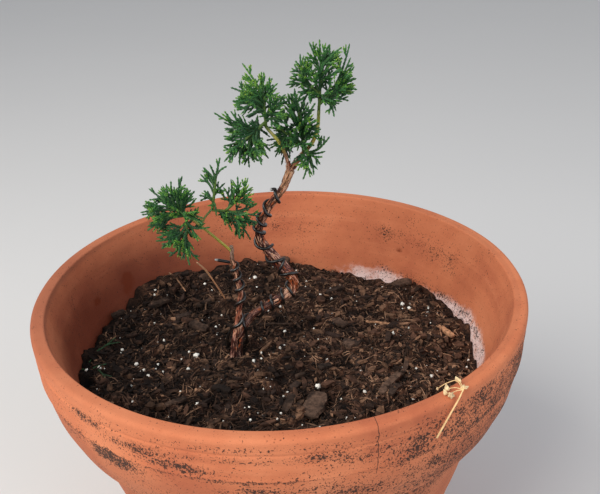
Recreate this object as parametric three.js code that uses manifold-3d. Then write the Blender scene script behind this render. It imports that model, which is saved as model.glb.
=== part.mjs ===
// A young juniper in training, its two stems wound with wire, in a weathered clay pot full of bark soil.
// Units are millimetres and +Z is up. The origin is the centre of the pot's underside, and the plant is seen
// from -Y.
import * as THREE from 'three';
import { mergeVertices } from 'three/addons/utils/BufferGeometryUtils.js';
import Module from 'manifold-3d';

const wasm = await Module();
wasm.setup();

// Driving dimensions

const clearGap = 0.3; // between one piece and the next that it touches

const potSize = {
  height: 222,
  rimRadius: 152,
  lipWidth: 8.4,
  lipRound: 3, // radius of the lip's outer edge
  lipInnerRound: 1.5,
  bandHeight: 27, // upright band under the lip
  bandTaper: 1.4,
  ledgeStep: 0.8, // step at the band's lower edge
  collarHeight: 61, // lip to the collar's lower edge
  collarFootRadius: 140,
  collarFootRound: 2,
  collarWaist: [0.45, 3.6], // height between foot and ledge, and how far in from the ledge
  neckRadius: 132.5, // body just under the collar
  footRadius: 85,
  footChamfer: 2,
  wall: 8,
  floor: 10,
  drainRadius: 12,
  sides: 40,
};

const soilSize = {
  level: 172,
  radius: 127.2, // where the surface meets the pot's inner wall
  relief: 1.6, // height of the low heaps
  heaps: [13, 17, 29, 11], // widths of the crossed waves, the first two upright and the last two slanted
  slantShare: 0.6, // height of the slanted waves
  calmRadius: 12, // flat ground round the trunk
  rings: 6,
};

const wireRadius = 0.75;
const barkSides = 8;
const wireSides = 5;
const stepsPerTurn = 11;

// A knot is x, y, z and the limb's radius there. A limb is a smooth curve through its knots.
const mainStemKnots = [
  [-29.0, -2.0, soilSize.level + clearGap, 2.7],
  [-26.6, -1.5, 187.0, 2.0],
  [-18.6, 0.5, 199.4, 2.1],
  [-5.5, 5.5, 205.4, 2.7],
  [6.8, 8.0, 212.2, 3.1],
  [8.6, 9.5, 220.6, 3.3],
  [-0.2, 12.0, 232.0, 3.5],
  [-9.6, 12.0, 246.4, 2.7],
  [-10.2, 10.4, 257.5, 2.2],
  [-3.0, 8.2, 272.3, 2.2],
  [5.0, 6.8, 283.4, 2.1],
  [10.4, 5.0, 295.9, 2.1],
];
const leftStemKnots = [
  [-32.2, -4.2, soilSize.level + clearGap, 2.5],
  [-29.9, -6.0, 189.0, 1.6],
  [-26.7, -7.0, 204.0, 1.6],
  [-24.2, -8.0, 222.0, 1.6],
  [-25.6, -9.4, 234.5, 1.4],
  [-27.3, -11.0, 247.0, 1.25],
  [-27.4, -12.0, 256.0, 1.3],
];
const leftTwigKnots = [
  [-27.4, -11.8, 252.6, 1.05],
  [-37.7, -17.0, 266.5, 0.95],
  [-47.4, -23.0, 279.6, 0.85],
];
const sideStalkKnots = [
  [-43.2, -20.2, 273.8, 0.8],
  [-41.0, -16.6, 277.6, 0.75],
  [-36.5, -13.0, 281.4, 0.8],
];
const leftBoughKnots = [
  [9.6, 4.4, 294.0, 1.4],
  [8.6, 2.4, 303.4, 1.25],
  [4.6, -0.6, 315.0, 1.15],
  [-2.7, -3.0, 326.0, 1.05],
];
const rightBoughKnots = [
  [10.6, 5.0, 296.3, 1.9],
  [16.4, 6.3, 303.0, 1.5],
  [24.2, 8.4, 311.6, 1.3],
  [27.6, 9.0, 321.6, 1.15],
  [28.4, 9.0, 330.5, 1.05],
];
const dryStickKnots = [
  [-36.2, 60.6, soilSize.level + 1, 0.8],
  [-50.1, 55.0, 206.5, 1.1],
  [-55.6, 52.0, 213.6, 0.7],
];

const trunkFlare = { footRadius: 4.4, topRadius: 1.8, height: 9, lean: 1 };
const trunkTop = 1.05; // knot number where the trunk's foot ends on the main stem
const leftStemFoot = 0.95; // the same on the left stem
const elbow = 4.6; // knot number of the main stem's sharp bend

// Each mass of foliage: arms are its bare axes, the first from its bough's tip. fan has the angle in degrees
// and the reach of each outline shoot, seen from the front, and for some how far back its tip is. fill is the
// number of shoots towards the front and back.
const massSizes = {
  foliage_upper_left: {
    seed: 11,
    centre: [-7.6, -4, 329.5],
    depth: 21,
    arms: [
      [[-2.7, -3, 326], [-3.4, -5, 345]],
      [[-2.8, -3.4, 329], [-19, -7, 317]],
    ],
    fan: [[27, 20], [45, 23], [61, 25], [79, 28], [100, 33], [114, 21], [129, 19], [162, 24], [177, 18],
      [-168, 18], [-155, 21], [-142, 25], [-134, 28], [-116, 26], [-103, 27], [-92, 24], [-78, 24]],
    fill: 16,
  },
  foliage_crown: {
    seed: 23,
    centre: [30.6, 9, 346],
    depth: 20,
    arms: [
      [[28.4, 9, 330.5], [30.4, 8.4, 357]],
      [[28.7, 9, 334], [39, 10, 343]],
      [[29.3, 9, 339], [21, 8, 348]],
    ],
    fan: [[-60, 15], [-38, 19], [-24, 20], [-8, 19], [8, 19], [25, 20], [38, 21], [51, 26], [64, 24],
      [80, 23], [92, 25], [105, 24], [126, 20], [146, 18], [162, 19], [176, 20], [-164, 14]],
    fill: 18,
  },
  foliage_middle: {
    seed: 37,
    centre: [15.5, 3, 324],
    depth: 17,
    arms: [
      [[18.4, 6.2, 306.2], [17.6, 3, 320]],
      [[17.6, 3, 320], [15.6, 3, 336]],
      [[18.0, 5, 311], [5, 5, 322]],
      [[18.2, 4.6, 309.5], [25, -1, 305]],
    ],
    fan: [[-172, 17, 6], [-152, 20, 4], [-138, 22, 5], [-124, 24, 5], [-112, 27, 5], [-99, 22, -3],
      [-86, 31, -5], [-74, 30, -4], [-62, 25, -5], [-46, 21, -5], [-22, 19, -4], [12, 12, -6], [60, 13],
      [78, 18, -1], [93, 20], [108, 19], [122, 15], [146, 15, 5], [166, 14, 7]],
    fill: 20,
  },
  foliage_low_left: {
    seed: 41,
    centre: [-56, -25, 284],
    depth: 20,
    arms: [
      [[-47.4, -23, 279.6], [-57.5, -26, 289.5]],
      [[-50.6, -24, 282.8], [-52.5, -27, 264]],
    ],
    fan: [[-175, 20], [-160, 17], [-140, 15], [-116, 23], [-104, 28], [-88, 27], [-80, 29], [-70, 29],
      [-56, 18], [-17, 19, -7], [2, 15, -7], [46, 15], [60, 19], [78, 22], [93, 20], [103, 18], [134, 20],
      [150, 19], [166, 19]],
    fill: 14,
  },
  foliage_low_upright: {
    seed: 53,
    centre: [-34.6, -13, 294],
    depth: 9,
    arms: [[[-36.5, -13, 281.4], [-32.4, -13, 303]]],
    fan: [[-152, 9], [-136, 11], [13, 6], [60, 16], [75, 19], [93, 14], [110, 13], [130, 10]],
    fill: 3,
  },
  foliage_low_right: {
    seed: 67,
    centre: [-22, -11, 278.6],
    depth: 15,
    arms: [
      [[-36.5, -13, 280.6], [-20, -11, 277]],
      [[-29, -12.4, 279.4], [-20, -12, 287]],
    ],
    fan: [[-128, 10], [-112, 12], [-90, 16], [-71, 19], [-48, 14], [-24, 13], [8, 11], [36, 12], [60, 17],
      [70, 21], [86, 20], [98, 18]],
    fill: 7,
  },
};

const growth = {
  armRadius: [0.95, 0.7], // foot and tip of an arm
  shootRadius: 0.95,
  shootBend: 0.45, // share of its length where a shoot bends most
  shootStart: 0.8, // how much of its arm's direction a shoot sets out in
  shootCost: [1.3, 3], // of a long way to the tip, and of each shoot from the same root
  twigRadius: 0.85,
  widest: 0.7, // a twig is widest at this share of half its length
  firstRoot: 0.2, // share of an arm that stays bare
  rootSpacing: 0.075,
  firstTwig: 0.3, // share of a shoot that stays bare
  twigSpacing: 4.9,
  twigAngle: [33, 46], // degrees
  twigTwist: 22,
  twigLength: [2.6, 0.55, 9], // the least, the share of what is left of the shoot, and the most
  twigSpread: [0.8, 1.2],
  fanDepth: [-0.35, 0.35], // of the mass's depth
  fanLean: [-0.5, 0.5],
  fillDepth: [0.45, 0.97], // of the mass's half-depth
  fillReach: [0.8, 1],
  fillTurn: 2.4, // radians from one filling shoot to the next
  spaceLimit: 1.2, // of the space's half-axes
  limbGap: 0.6,
  twigGap: -0.5, // twigs of one mass may graze each other
};

// Colours, roughness and metalness

const finishes = {
  clay: { color: 0xc8714a, roughness: 0.85 },
  soil: { color: 0x3a281e, roughness: 0.95 },
  bark: { color: 0x8a5238, roughness: 0.85 },
  greenStem: { color: 0x9aa03a, roughness: 0.6 },
  foliage: { color: 0x2e5f2f, roughness: 0.6 },
  wire: { color: 0x24282a, roughness: 0.4, metalness: 0.6 },
  straw: { color: 0xa0754a, roughness: 0.85 },
};

// Small helpers

const vector = ([x, y, z]) => new THREE.Vector3(x, y, z);
const radians = THREE.MathUtils.degToRad;
const mix = THREE.MathUtils.lerp;

// The same seed always gives the same numbers, from 0 to 1.
function seededRandom(seed) {
  let state = seed * 7919 + 17;
  return () => {
    state = (state * 48271) % 2147483647;
    return state / 2147483647;
  };
}

// A uniform Catmull-Rom spline through knots of any width. The place counts in knots, from 0 to the last.
function splineAt(knots, place) {
  const last = knots.length - 1;
  const first = THREE.MathUtils.clamp(Math.floor(place), 0, last - 1);
  const t = place - first;
  const before = knots[first - 1] ?? knots[0].map((value, axis) => 2 * value - knots[1][axis]);
  const after = knots[first + 2] ?? knots[last].map((value, axis) => 2 * value - knots[last - 1][axis]);
  return knots[first].map((start, axis) => {
    const end = knots[first + 1][axis];
    const slopeIn = (end - before[axis]) / 2;
    const slopeOut = (after[axis] - start) / 2;
    const cubic = 2 * (start - end) + slopeIn + slopeOut;
    const square = 3 * (end - start) - 2 * slopeIn - slopeOut;
    return ((cubic * t + square) * t + slopeIn) * t + start;
  });
}

function solidFrom(geometry) {
  geometry.deleteAttribute('normal');
  geometry.deleteAttribute('uv');
  const merged = mergeVertices(geometry, 1e-4);
  const vertProperties = new Float32Array(merged.attributes.position.array);
  const triVerts = new Uint32Array(merged.index.array);
  return new wasm.Manifold(new wasm.Mesh({ numProp: 3, vertProperties, triVerts }));
}

const joined = (solids) => solids.reduce((whole, solid) => whole.add(solid));
const cutClear = (solid, cutters) => cutters.reduce((rest, cutter) => rest.subtract(cutter), solid);

// The largest body of a solid: loose scraps that a cut leaves are dropped.
function largestBody(solid) {
  return solid.decompose().reduce((best, body) => (body.volume() > best.volume() ? body : best));
}

function meshOf(name, solid, finish) {
  const { vertProperties, triVerts } = largestBody(solid).getMesh();
  const geometry = new THREE.BufferGeometry();
  geometry.setAttribute('position', new THREE.BufferAttribute(vertProperties, 3));
  geometry.setIndex(new THREE.BufferAttribute(triVerts, 1));
  geometry.computeVertexNormals();
  const mesh = new THREE.Mesh(geometry, new THREE.MeshStandardMaterial(finish));
  mesh.name = name;
  return mesh;
}

// A closed tube of rings along a path. pointAt and radiusAt take the share of the way, from 0 to 1. Each
// ring's axes are carried on from the ring before, so that the tube doesn't twist. An end whose radius is 0 is
// a point.
function sweep(pointAt, radiusAt, sides, steps) {
  const shares = Array.from({ length: steps + 1 }, (_, ring) => ring / steps);
  const rings = shares.filter((share) => radiusAt(share) > 0).map((share) => new THREE.Vector2(1, share));
  const tube = new THREE.LatheGeometry([new THREE.Vector2(0, 0), ...rings, new THREE.Vector2(0, 1)], sides);
  const points = shares.map(pointAt);
  const tangents = shares.map((share) => {
    const ahead = pointAt(Math.min(share + 0.01, 1));
    return ahead.sub(pointAt(Math.max(share - 0.01, 0))).normalize();
  });
  const sideways = Math.abs(tangents[0].z) < 0.9 ? new THREE.Vector3(0, 0, 1) : new THREE.Vector3(1, 0, 0);
  const frames = tangents.map((tangent) => {
    sideways.addScaledVector(tangent, -sideways.dot(tangent)).normalize();
    return [sideways.clone(), sideways.clone().cross(tangent)];
  });
  const position = tube.attributes.position;
  for (let vertex = 0; vertex < position.count; vertex += 1) {
    const share = position.getY(vertex);
    const ring = Math.round(share * steps);
    const radius = radiusAt(share);
    const place = points[ring].clone();
    place.addScaledVector(frames[ring][0], position.getX(vertex) * radius);
    place.addScaledVector(frames[ring][1], position.getZ(vertex) * radius);
    position.setXYZ(vertex, place.x, place.y, place.z);
  }
  return solidFrom(tube);
}

// A stretch of a limb between two places on its knots, made fatter by extra where it serves as a cutter.
function limbStretch(knots, from, to, extra = 0) {
  const at = (share) => splineAt(knots, mix(from, to, share));
  const steps = Math.max(3, Math.ceil((to - from) * 3));
  return sweep((share) => vector(at(share)), (share) => at(share)[3] + extra, barkSides, steps);
}

// The gap's length as a step in knot number, at a place on a limb.
function gapStep(knots, place) {
  const span = vector(splineAt(knots, place + 0.05)).distanceTo(vector(splineAt(knots, place - 0.05)));
  return (clearGap * 0.1) / span;
}

const wholeLimb = (knots) => limbStretch(knots, 0, knots.length - 1);

// The limb with a gap all round it, to cut its neighbours clear.
function cutterOf(knots) {
  const last = knots.length - 1;
  return limbStretch(knots, -gapStep(knots, 0.1), last + gapStep(knots, last - 0.1), clearGap + 0.1);
}

// Pot: one turned profile, from the drain hole out and up the outside, over the lip and down the inside.
function makePot() {
  const size = potSize;
  const ledge = size.height - size.bandHeight;
  const collarFoot = size.height - size.collarHeight;
  const bandRadius = size.rimRadius - size.bandTaper;
  const lipInner = size.rimRadius - size.lipWidth;
  const [waistShare, waistDepth] = size.collarWaist;
  const innerAt = (z) => mix(size.footRadius, size.neckRadius, z / collarFoot) - size.wall;
  const innerShoulder = soilSize.radius + clearGap;
  const lipArc = [0, 30, 60, 90].map((degrees) => [
    size.rimRadius - size.lipRound * (1 - Math.cos(radians(degrees))),
    size.height - size.lipRound * (1 - Math.sin(radians(degrees))),
  ]);
  const profile = [
    [size.drainRadius, 0],
    [size.footRadius - size.footChamfer, 0],
    [size.footRadius, size.footChamfer],
    [size.neckRadius, collarFoot],
    [size.collarFootRadius - size.collarFootRound, collarFoot],
    [size.collarFootRadius, collarFoot + size.collarFootRound],
    [bandRadius - size.ledgeStep - waistDepth, mix(collarFoot, ledge, waistShare)],
    [bandRadius - size.ledgeStep, ledge],
    [bandRadius, ledge + size.ledgeStep],
    ...lipArc,
    [lipInner + size.lipInnerRound, size.height],
    [lipInner, size.height - size.lipInnerRound],
    [innerShoulder, soilSize.level],
    [innerAt(size.floor), size.floor],
    [size.drainRadius, size.floor],
    [size.drainRadius, 0],
  ];
  const points = profile.map(([radius, z]) => new THREE.Vector2(radius, z));
  const lathe = new THREE.LatheGeometry(points, size.sides);
  return solidFrom(lathe.rotateX(Math.PI / 2));
}

// Low heaps in the soil: crossed waves, faded out round the trunk and at the pot's wall.
function soilHeight(x, y) {
  const [trunkX, trunkY] = mainStemKnots[0];
  const fromTrunk = Math.hypot(x - trunkX, y - trunkY);
  const fromAxis = Math.hypot(x, y);
  const calm = THREE.MathUtils.smoothstep(fromTrunk, soilSize.calmRadius, soilSize.calmRadius * 2.5);
  const edge = 1 - THREE.MathUtils.smoothstep(fromAxis, soilSize.radius * 0.8, soilSize.radius * 0.99);
  const [across, deep, slantAcross, slantDeep] = soilSize.heaps;
  const upright = Math.sin(x / across) * Math.cos(y / deep);
  const slanted = soilSize.slantShare * Math.sin(x / slantAcross - y / slantDeep);
  return soilSize.relief * (upright + slanted) * calm * edge;
}

// Potting soil: fills the pot, a gap clear of its floor and wall.
function makeSoil() {
  const size = potSize;
  const bottom = size.floor + clearGap;
  const collarFoot = size.height - size.collarHeight;
  const outerAtBottom = mix(size.footRadius, size.neckRadius, bottom / collarFoot);
  const bottomRadius = outerAtBottom - size.wall - clearGap * 1.5;
  const surface = Array.from({ length: soilSize.rings + 1 }, (_, ring) => [
    soilSize.radius * (1 - ring / soilSize.rings),
    soilSize.level,
  ]);
  const profile = [[0, bottom], [bottomRadius, bottom], ...surface];
  const points = profile.map(([radius, z]) => new THREE.Vector2(radius, z));
  const lathe = new THREE.LatheGeometry(points, size.sides).rotateX(Math.PI / 2);
  const position = lathe.attributes.position;
  for (let vertex = 0; vertex < position.count; vertex += 1) {
    const isSurface = position.getZ(vertex) > bottom + 1;
    if (isSurface) {
      position.setZ(vertex, soilSize.level + soilHeight(position.getX(vertex), position.getY(vertex)));
    }
  }
  return solidFrom(lathe);
}

// Trunk foot: the two stems' lowest stretches grown together, cut flat at the soil, with a low flare.
function makeTrunkBase() {
  const ground = soilSize.level + clearGap;
  const main = limbStretch(mainStemKnots, 0, trunkTop - gapStep(mainStemKnots, trunkTop) / 2);
  const left = limbStretch(leftStemKnots, 0, leftStemFoot - gapStep(leftStemKnots, leftStemFoot) / 2);
  const [mainX, mainY] = mainStemKnots[0];
  const [leftX, leftY] = leftStemKnots[0];
  const { footRadius, topRadius, height, lean } = trunkFlare;
  const foot = new THREE.Vector3((mainX + leftX) / 2, (mainY + leftY) / 2, ground);
  const rise = new THREE.Vector3(lean, 0, height);
  const middle = (share) => foot.clone().addScaledVector(rise, share);
  const flare = sweep(middle, (share) => mix(footRadius, topRadius, Math.sqrt(share)), barkSides, 4);
  const aboveGround = new THREE.BoxGeometry(height * 4, height * 4, height * 4);
  aboveGround.translate(mainX, mainY, ground + height * 2);
  return joined([main, left, flare]).intersect(solidFrom(aboveGround));
}

// Wire wound round a limb. turns lists [place on the limb's knots, turns made so far]: at a whole turn the
// wire is in front of the limb. A hand of 1 rises from right to left across the front, -1 from left to right.
const windings = {
  main: {
    knots: mainStemKnots,
    hand: 1,
    slack: 0.6, // between the bark and the wire
    turns: [[1.48, 0], [2.49, 1], [2.97, 2], [3.51, 3], [4.02, 4], [5.4, 5], [5.6, 5.2], [5.95, 4.8],
      [6.15, 5], [6.77, 6], [7.85, 7], [8.26, 8], [8.74, 9], [9.56, 10], [9.8, 10.25]],
    foot: [-22.4, -2.5, soilSize.level + clearGap],
    rise: [-22.8, -4.0, 182],
    tail: [-2.4, 4.6, 284.2],
  },
  left: {
    knots: leftStemKnots,
    hand: -1,
    slack: 0.35,
    turns: [[1.4, -0.25], [1.67, 0], [2.67, 1], [3.26, 2], [3.9, 3], [4.46, 4], [4.7, 4.6]],
    foot: [-37.0, -3.5, soilSize.level + clearGap],
    rise: [-35.4, -4.6, 180],
    tail: [-38.0, -9.5, 246.4],
  },
};

function wirePoints({ knots, hand, slack, turns, foot, rise, tail }) {
  const points = [vector(foot), vector(rise)];
  const turnPoint = (place, turn) => {
    const here = splineAt(knots, place);
    const ahead = vector(splineAt(knots, place + 0.02));
    const tangent = ahead.sub(vector(splineAt(knots, place - 0.02))).normalize();
    const front = new THREE.Vector3(0, -1, 0);
    front.addScaledVector(tangent, -front.dot(tangent)).normalize();
    const side = front.clone().cross(tangent).multiplyScalar(hand);
    const angle = 2 * Math.PI * turn;
    const reach = here[3] + slack + wireRadius;
    const outward = front.multiplyScalar(Math.cos(angle)).addScaledVector(side, Math.sin(angle));
    return vector(here).addScaledVector(outward, reach);
  };
  turns.slice(1).forEach(([place, turn], index) => {
    const [placeBefore, turnBefore] = turns[index];
    const count = Math.ceil(Math.abs(turn - turnBefore) * stepsPerTurn);
    for (let step = index === 0 ? 0 : 1; step <= count; step += 1) {
      points.push(turnPoint(mix(placeBefore, place, step / count), mix(turnBefore, turn, step / count)));
    }
  });
  points.push(vector(tail));
  return points;
}

function makeWire(winding) {
  const curve = new THREE.CatmullRomCurve3(wirePoints(winding), false, 'centripetal');
  const section = new THREE.Shape();
  for (let side = 0; side < wireSides; side += 1) {
    const angle = (2 * Math.PI * side) / wireSides;
    const corner = [wireRadius * Math.cos(angle), wireRadius * Math.sin(angle)];
    if (side === 0) section.moveTo(...corner);
    else section.lineTo(...corner);
  }
  const steps = curve.points.length + 4;
  const options = { steps, bevelEnabled: false, extrudePath: curve };
  return solidFrom(new THREE.ExtrudeGeometry(section, options));
}

// Obstacles are short stretches with a radius, which foliage keeps clear of.

function limbObstacles(knots, owner) {
  const perKnot = 4;
  const count = (knots.length - 1) * perKnot;
  const places = Array.from({ length: count + 1 }, (_, step) => splineAt(knots, step / perKnot));
  return places.slice(1).map((end, step) => ({
    from: vector(places[step]),
    to: vector(end),
    radius: Math.max(places[step][3], end[3]),
    owner,
  }));
}

function wireObstacles(winding, owner) {
  const points = wirePoints(winding);
  return points.slice(1).map((to, step) => ({ from: points[step], to, radius: wireRadius, owner }));
}

const nearest = new THREE.Vector3();
const stretch = new THREE.Line3();

function distanceToStretch(point, { from, to }) {
  stretch.set(from, to).closestPointToPoint(point, true, nearest);
  return nearest.distanceTo(point);
}

// Growth: shoots leave the arms for their tips, and twigs leave the shoots by turns left and right. What
// would leave the mass's space or touch a limb, a wire or another mass is skipped.
function growMass(name, mass, obstacles) {
  const centre = vector(mass.centre);
  const arms = mass.arms.map(([from, to]) => ({ from: vector(from), to: vector(to), taken: {} }));
  const fan = mass.fan.map(([degrees, reach, back]) => {
    const angle = radians(degrees);
    return [reach * Math.cos(angle), reach * Math.sin(angle), back];
  });
  const space = new THREE.Vector3(
    Math.max(...fan.map(([x]) => Math.abs(x))),
    mass.depth,
    Math.max(...fan.map(([, z]) => Math.abs(z))),
  );
  const others = obstacles.filter(({ owner }) => owner !== name);
  const solids = [];
  const stretches = [];

  // Each shoot draws from its own row of numbers.
  const rowOf = (shoot) => {
    const random = seededRandom(mass.seed * 100 + shoot);
    return ([low, high]) => mix(low, high, random());
  };
  const inSpace = (point) => point.clone().sub(centre).divide(space).length() < growth.spaceLimit;
  const isClear = (from, to, radius, list, gap) => [0.4, 0.6, 0.8, 1].every((share) => {
    const point = from.clone().lerp(to, share);
    return list.every((other) => distanceToStretch(point, other) > other.radius + radius + gap);
  });

  // A twig is a spindle with three sides, its foot on the shoot's axis.
  function growTwig(from, to, shoot) {
    const radius = growth.twigRadius;
    const neighbours = stretches.filter((own) => own.shoot !== shoot);
    if (!inSpace(to) || !isClear(from, to, radius, others, growth.limbGap)) return;
    if (!isClear(from, to, radius, neighbours, growth.twigGap)) return;
    const pointAt = (share) => from.clone().lerp(to, share === 0.5 ? 0.5 * growth.widest : share);
    solids.push(sweep(pointAt, (share) => (share === 0.5 ? radius : 0), 3, 2));
    stretches.push({ from, to, radius, owner: name, shoot });
  }

  // A shoot bends from its arm's direction to its tip. Its twigs lie in one plane, and lean is square to it.
  function growShoot(arm, root, tip, lean, shoot, between) {
    const way = tip.clone().sub(root);
    const length = way.length();
    const start = way.clone().normalize().addScaledVector(arm, growth.shootStart).normalize();
    const bend = root.clone().addScaledVector(start, length * growth.shootBend);
    const pointAt = (share) => root.clone().lerp(bend, share).lerp(bend.clone().lerp(tip, share), share);
    const radius = growth.shootRadius;
    const halfway = pointAt(0.5);
    const isFree = isClear(root, halfway, radius, others, growth.limbGap);
    if (!isFree || !isClear(halfway, tip, radius, others, growth.limbGap)) return;
    solids.push(sweep(pointAt, (share) => (share > 0 && share < 1 ? radius : 0), 3, 3));
    stretches.push({ from: root, to: halfway, radius, owner: name, shoot });
    stretches.push({ from: halfway, to: tip, radius, owner: name, shoot });
    const [least, restShare, most] = growth.twigLength;
    let turn = 1;
    for (let share = growth.firstTwig; share < 0.93; share += growth.twigSpacing / length) {
      const angle = radians(between(growth.twigAngle));
      const size = (least + length * (1 - share) * restShare) * between(growth.twigSpread);
      const twist = radians(between([-growth.twigTwist, growth.twigTwist]));
      const reach = Math.min(most, size);
      const along = pointAt(share + 0.03).sub(pointAt(share - 0.03)).normalize();
      const flat = lean.clone().addScaledVector(along, -lean.dot(along)).normalize();
      flat.applyAxisAngle(along, twist);
      const from = pointAt(share);
      const to = from.clone().addScaledVector(along, reach * Math.cos(angle));
      growTwig(from, to.addScaledVector(flat.cross(along), turn * reach * Math.sin(angle)), shoot);
      turn = -turn;
    }
  }

  // A shoot leaves its arm where the way to the tip is short and turns off least, and few others leave.
  function growTo(tip, lean, shoot, between) {
    const [distanceCost, crowdCost] = growth.shootCost;
    let best = { cost: Infinity };
    for (const { from, to, taken } of arms) {
      const along = to.clone().sub(from).normalize();
      for (let step = 0; growth.firstRoot + step * growth.rootSpacing < 1; step += 1) {
        const root = from.clone().lerp(to, growth.firstRoot + step * growth.rootSpacing);
        const way = tip.clone().sub(root);
        const cost = way.length() * distanceCost - way.dot(along) + crowdCost * (taken[step] ?? 0);
        if (cost < best.cost) best = { cost, root, along, taken, step };
      }
    }
    best.taken[best.step] = (best.taken[best.step] ?? 0) + 1;
    growShoot(best.along, best.root, tip, lean, shoot, between);
  }

  for (const { from, to } of arms) {
    const radiusAt = (share) => mix(...growth.armRadius, share);
    solids.push(sweep((share) => from.clone().lerp(to, share), radiusAt, 4, 1));
    stretches.push({ from, to, radius: growth.armRadius[0], owner: name, shoot: 0 });
  }
  fan.forEach(([x, z, back], index) => {
    const between = rowOf(index + 1);
    const anyDepth = between(growth.fanDepth) * mass.depth;
    const depth = back ?? anyDepth;
    const lean = new THREE.Vector3(between(growth.fanLean), 1, between(growth.fanLean)).normalize();
    growTo(centre.clone().add(new THREE.Vector3(x, depth, z)), lean, index + 1, between);
  });
  for (let index = 0; index < mass.fill; index += 1) {
    const shoot = fan.length + index + 1;
    const between = rowOf(shoot);
    const around = growth.fillTurn * index;
    const towards = (index % 2 === 0 ? -1 : 1) * between(growth.fillDepth);
    const spread = Math.sqrt(1 - towards * towards) * between(growth.fillReach);
    const way = new THREE.Vector3(spread * Math.cos(around), towards, spread * Math.sin(around));
    const lean = new THREE.Vector3(between([-1, 1]), between([-1, 1]), between([-1, 1])).normalize();
    growTo(centre.clone().add(way.multiply(space)), lean, shoot, between);
  }
  return { solid: joined(solids), stretches };
}

// Assembly

const plant = new THREE.Group();
const potMesh = meshOf('pot', makePot(), finishes.clay);
const soilMesh = meshOf('potting_soil', makeSoil(), finishes.soil);
plant.add(potMesh, soilMesh);

const gapAt = (place) => gapStep(mainStemKnots, place) / 2;
const lastMain = mainStemKnots.length - 1;
const mainLower = limbStretch(mainStemKnots, trunkTop + gapAt(trunkTop), elbow - gapAt(elbow));
const mainUpper = limbStretch(mainStemKnots, elbow + gapAt(elbow), lastMain);
const leftGap = gapStep(leftStemKnots, leftStemFoot) / 2;
const leftStem = limbStretch(leftStemKnots, leftStemFoot + leftGap, leftStemKnots.length - 1);
const aroundMain = cutterOf(mainStemKnots);
const aroundLeftStem = cutterOf(leftStemKnots);
const aroundLeftTwig = cutterOf(leftTwigKnots);
const aroundSideStalk = cutterOf(sideStalkKnots);
const aroundRightBough = cutterOf(rightBoughKnots);

plant.add(
  meshOf('trunk_base', makeTrunkBase(), finishes.bark),
  meshOf('main_stem_lower', mainLower, finishes.bark),
  meshOf('main_stem_upper', mainUpper, finishes.bark),
  meshOf('left_stem', leftStem, finishes.bark),
  meshOf('left_twig', cutClear(wholeLimb(leftTwigKnots), [aroundLeftStem]), finishes.greenStem),
  meshOf('side_stalk', cutClear(wholeLimb(sideStalkKnots), [aroundLeftTwig]), finishes.greenStem),
  meshOf('right_bough', cutClear(wholeLimb(rightBoughKnots), [aroundMain]), finishes.bark),
  meshOf('left_bough', cutClear(wholeLimb(leftBoughKnots), [aroundMain, aroundRightBough]), finishes.bark),
  meshOf('main_wire', makeWire(windings.main), finishes.wire),
  meshOf('left_wire', makeWire(windings.left), finishes.wire),
);

const obstacles = [
  ...limbObstacles(mainStemKnots, 'stem'),
  ...limbObstacles(leftStemKnots, 'stem'),
  ...limbObstacles(leftTwigKnots, 'stem'),
  ...limbObstacles(sideStalkKnots, 'stem'),
  ...limbObstacles(leftBoughKnots, 'stem'),
  ...limbObstacles(rightBoughKnots, 'stem'),
  ...limbObstacles(dryStickKnots, 'stick'),
  ...wireObstacles(windings.main, 'wire'),
  ...wireObstacles(windings.left, 'wire'),
];
const massCutters = [aroundLeftTwig, aroundSideStalk, cutterOf(leftBoughKnots), aroundRightBough];
for (const [name, mass] of Object.entries(massSizes)) {
  const { solid, stretches } = growMass(name, mass, obstacles);
  obstacles.push(...stretches);
  plant.add(meshOf(name, cutClear(solid, massCutters), finishes.foliage));
}

plant.add(meshOf('dry_stick', wholeLimb(dryStickKnots), finishes.straw));

export default plant;
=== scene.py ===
# A young juniper wound with training wire, in a weathered clay pot of bark soil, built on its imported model.
# The dictionaries give sizes in millimetres and colours as they look on a screen, from 0 to 255.
import bpy
import numpy as np
from mathutils import Matrix


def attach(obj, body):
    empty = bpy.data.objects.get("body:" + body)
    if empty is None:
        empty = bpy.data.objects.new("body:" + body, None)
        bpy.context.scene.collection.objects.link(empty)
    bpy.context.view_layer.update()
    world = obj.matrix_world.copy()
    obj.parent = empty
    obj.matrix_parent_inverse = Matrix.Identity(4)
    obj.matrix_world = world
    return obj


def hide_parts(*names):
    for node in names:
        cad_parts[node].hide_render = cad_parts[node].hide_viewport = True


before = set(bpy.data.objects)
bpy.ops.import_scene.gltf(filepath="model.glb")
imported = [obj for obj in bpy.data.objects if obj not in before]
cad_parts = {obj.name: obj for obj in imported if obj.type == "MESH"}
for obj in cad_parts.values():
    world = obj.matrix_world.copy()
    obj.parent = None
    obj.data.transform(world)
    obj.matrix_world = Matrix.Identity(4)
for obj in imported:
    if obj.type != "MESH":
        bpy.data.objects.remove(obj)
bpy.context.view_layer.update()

mm = 0.001
print("frame loaded with", len(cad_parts), "nodes")

# Camera

cameraView = {
    "place": (0.0, -464.7, 478.8),
    "lens": 50.7,
    "sensor": 36.0,
    "pitchDown": 26.488,
    "turnRight": 1.432,
    "roll": -2.462,
    "shiftX": 0.00645,
}


def placeObject(name, data, right, up, back, place):
    # the object's axes point right, up and back, and its place is in millimetres
    turned = np.eye(4)
    turned[:3] = np.column_stack([right, up, back, np.array(place) * mm])
    thing = bpy.data.objects.new(name, data)
    thing.matrix_world = Matrix(turned.tolist())
    bpy.context.scene.collection.objects.link(thing)
    return thing


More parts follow.
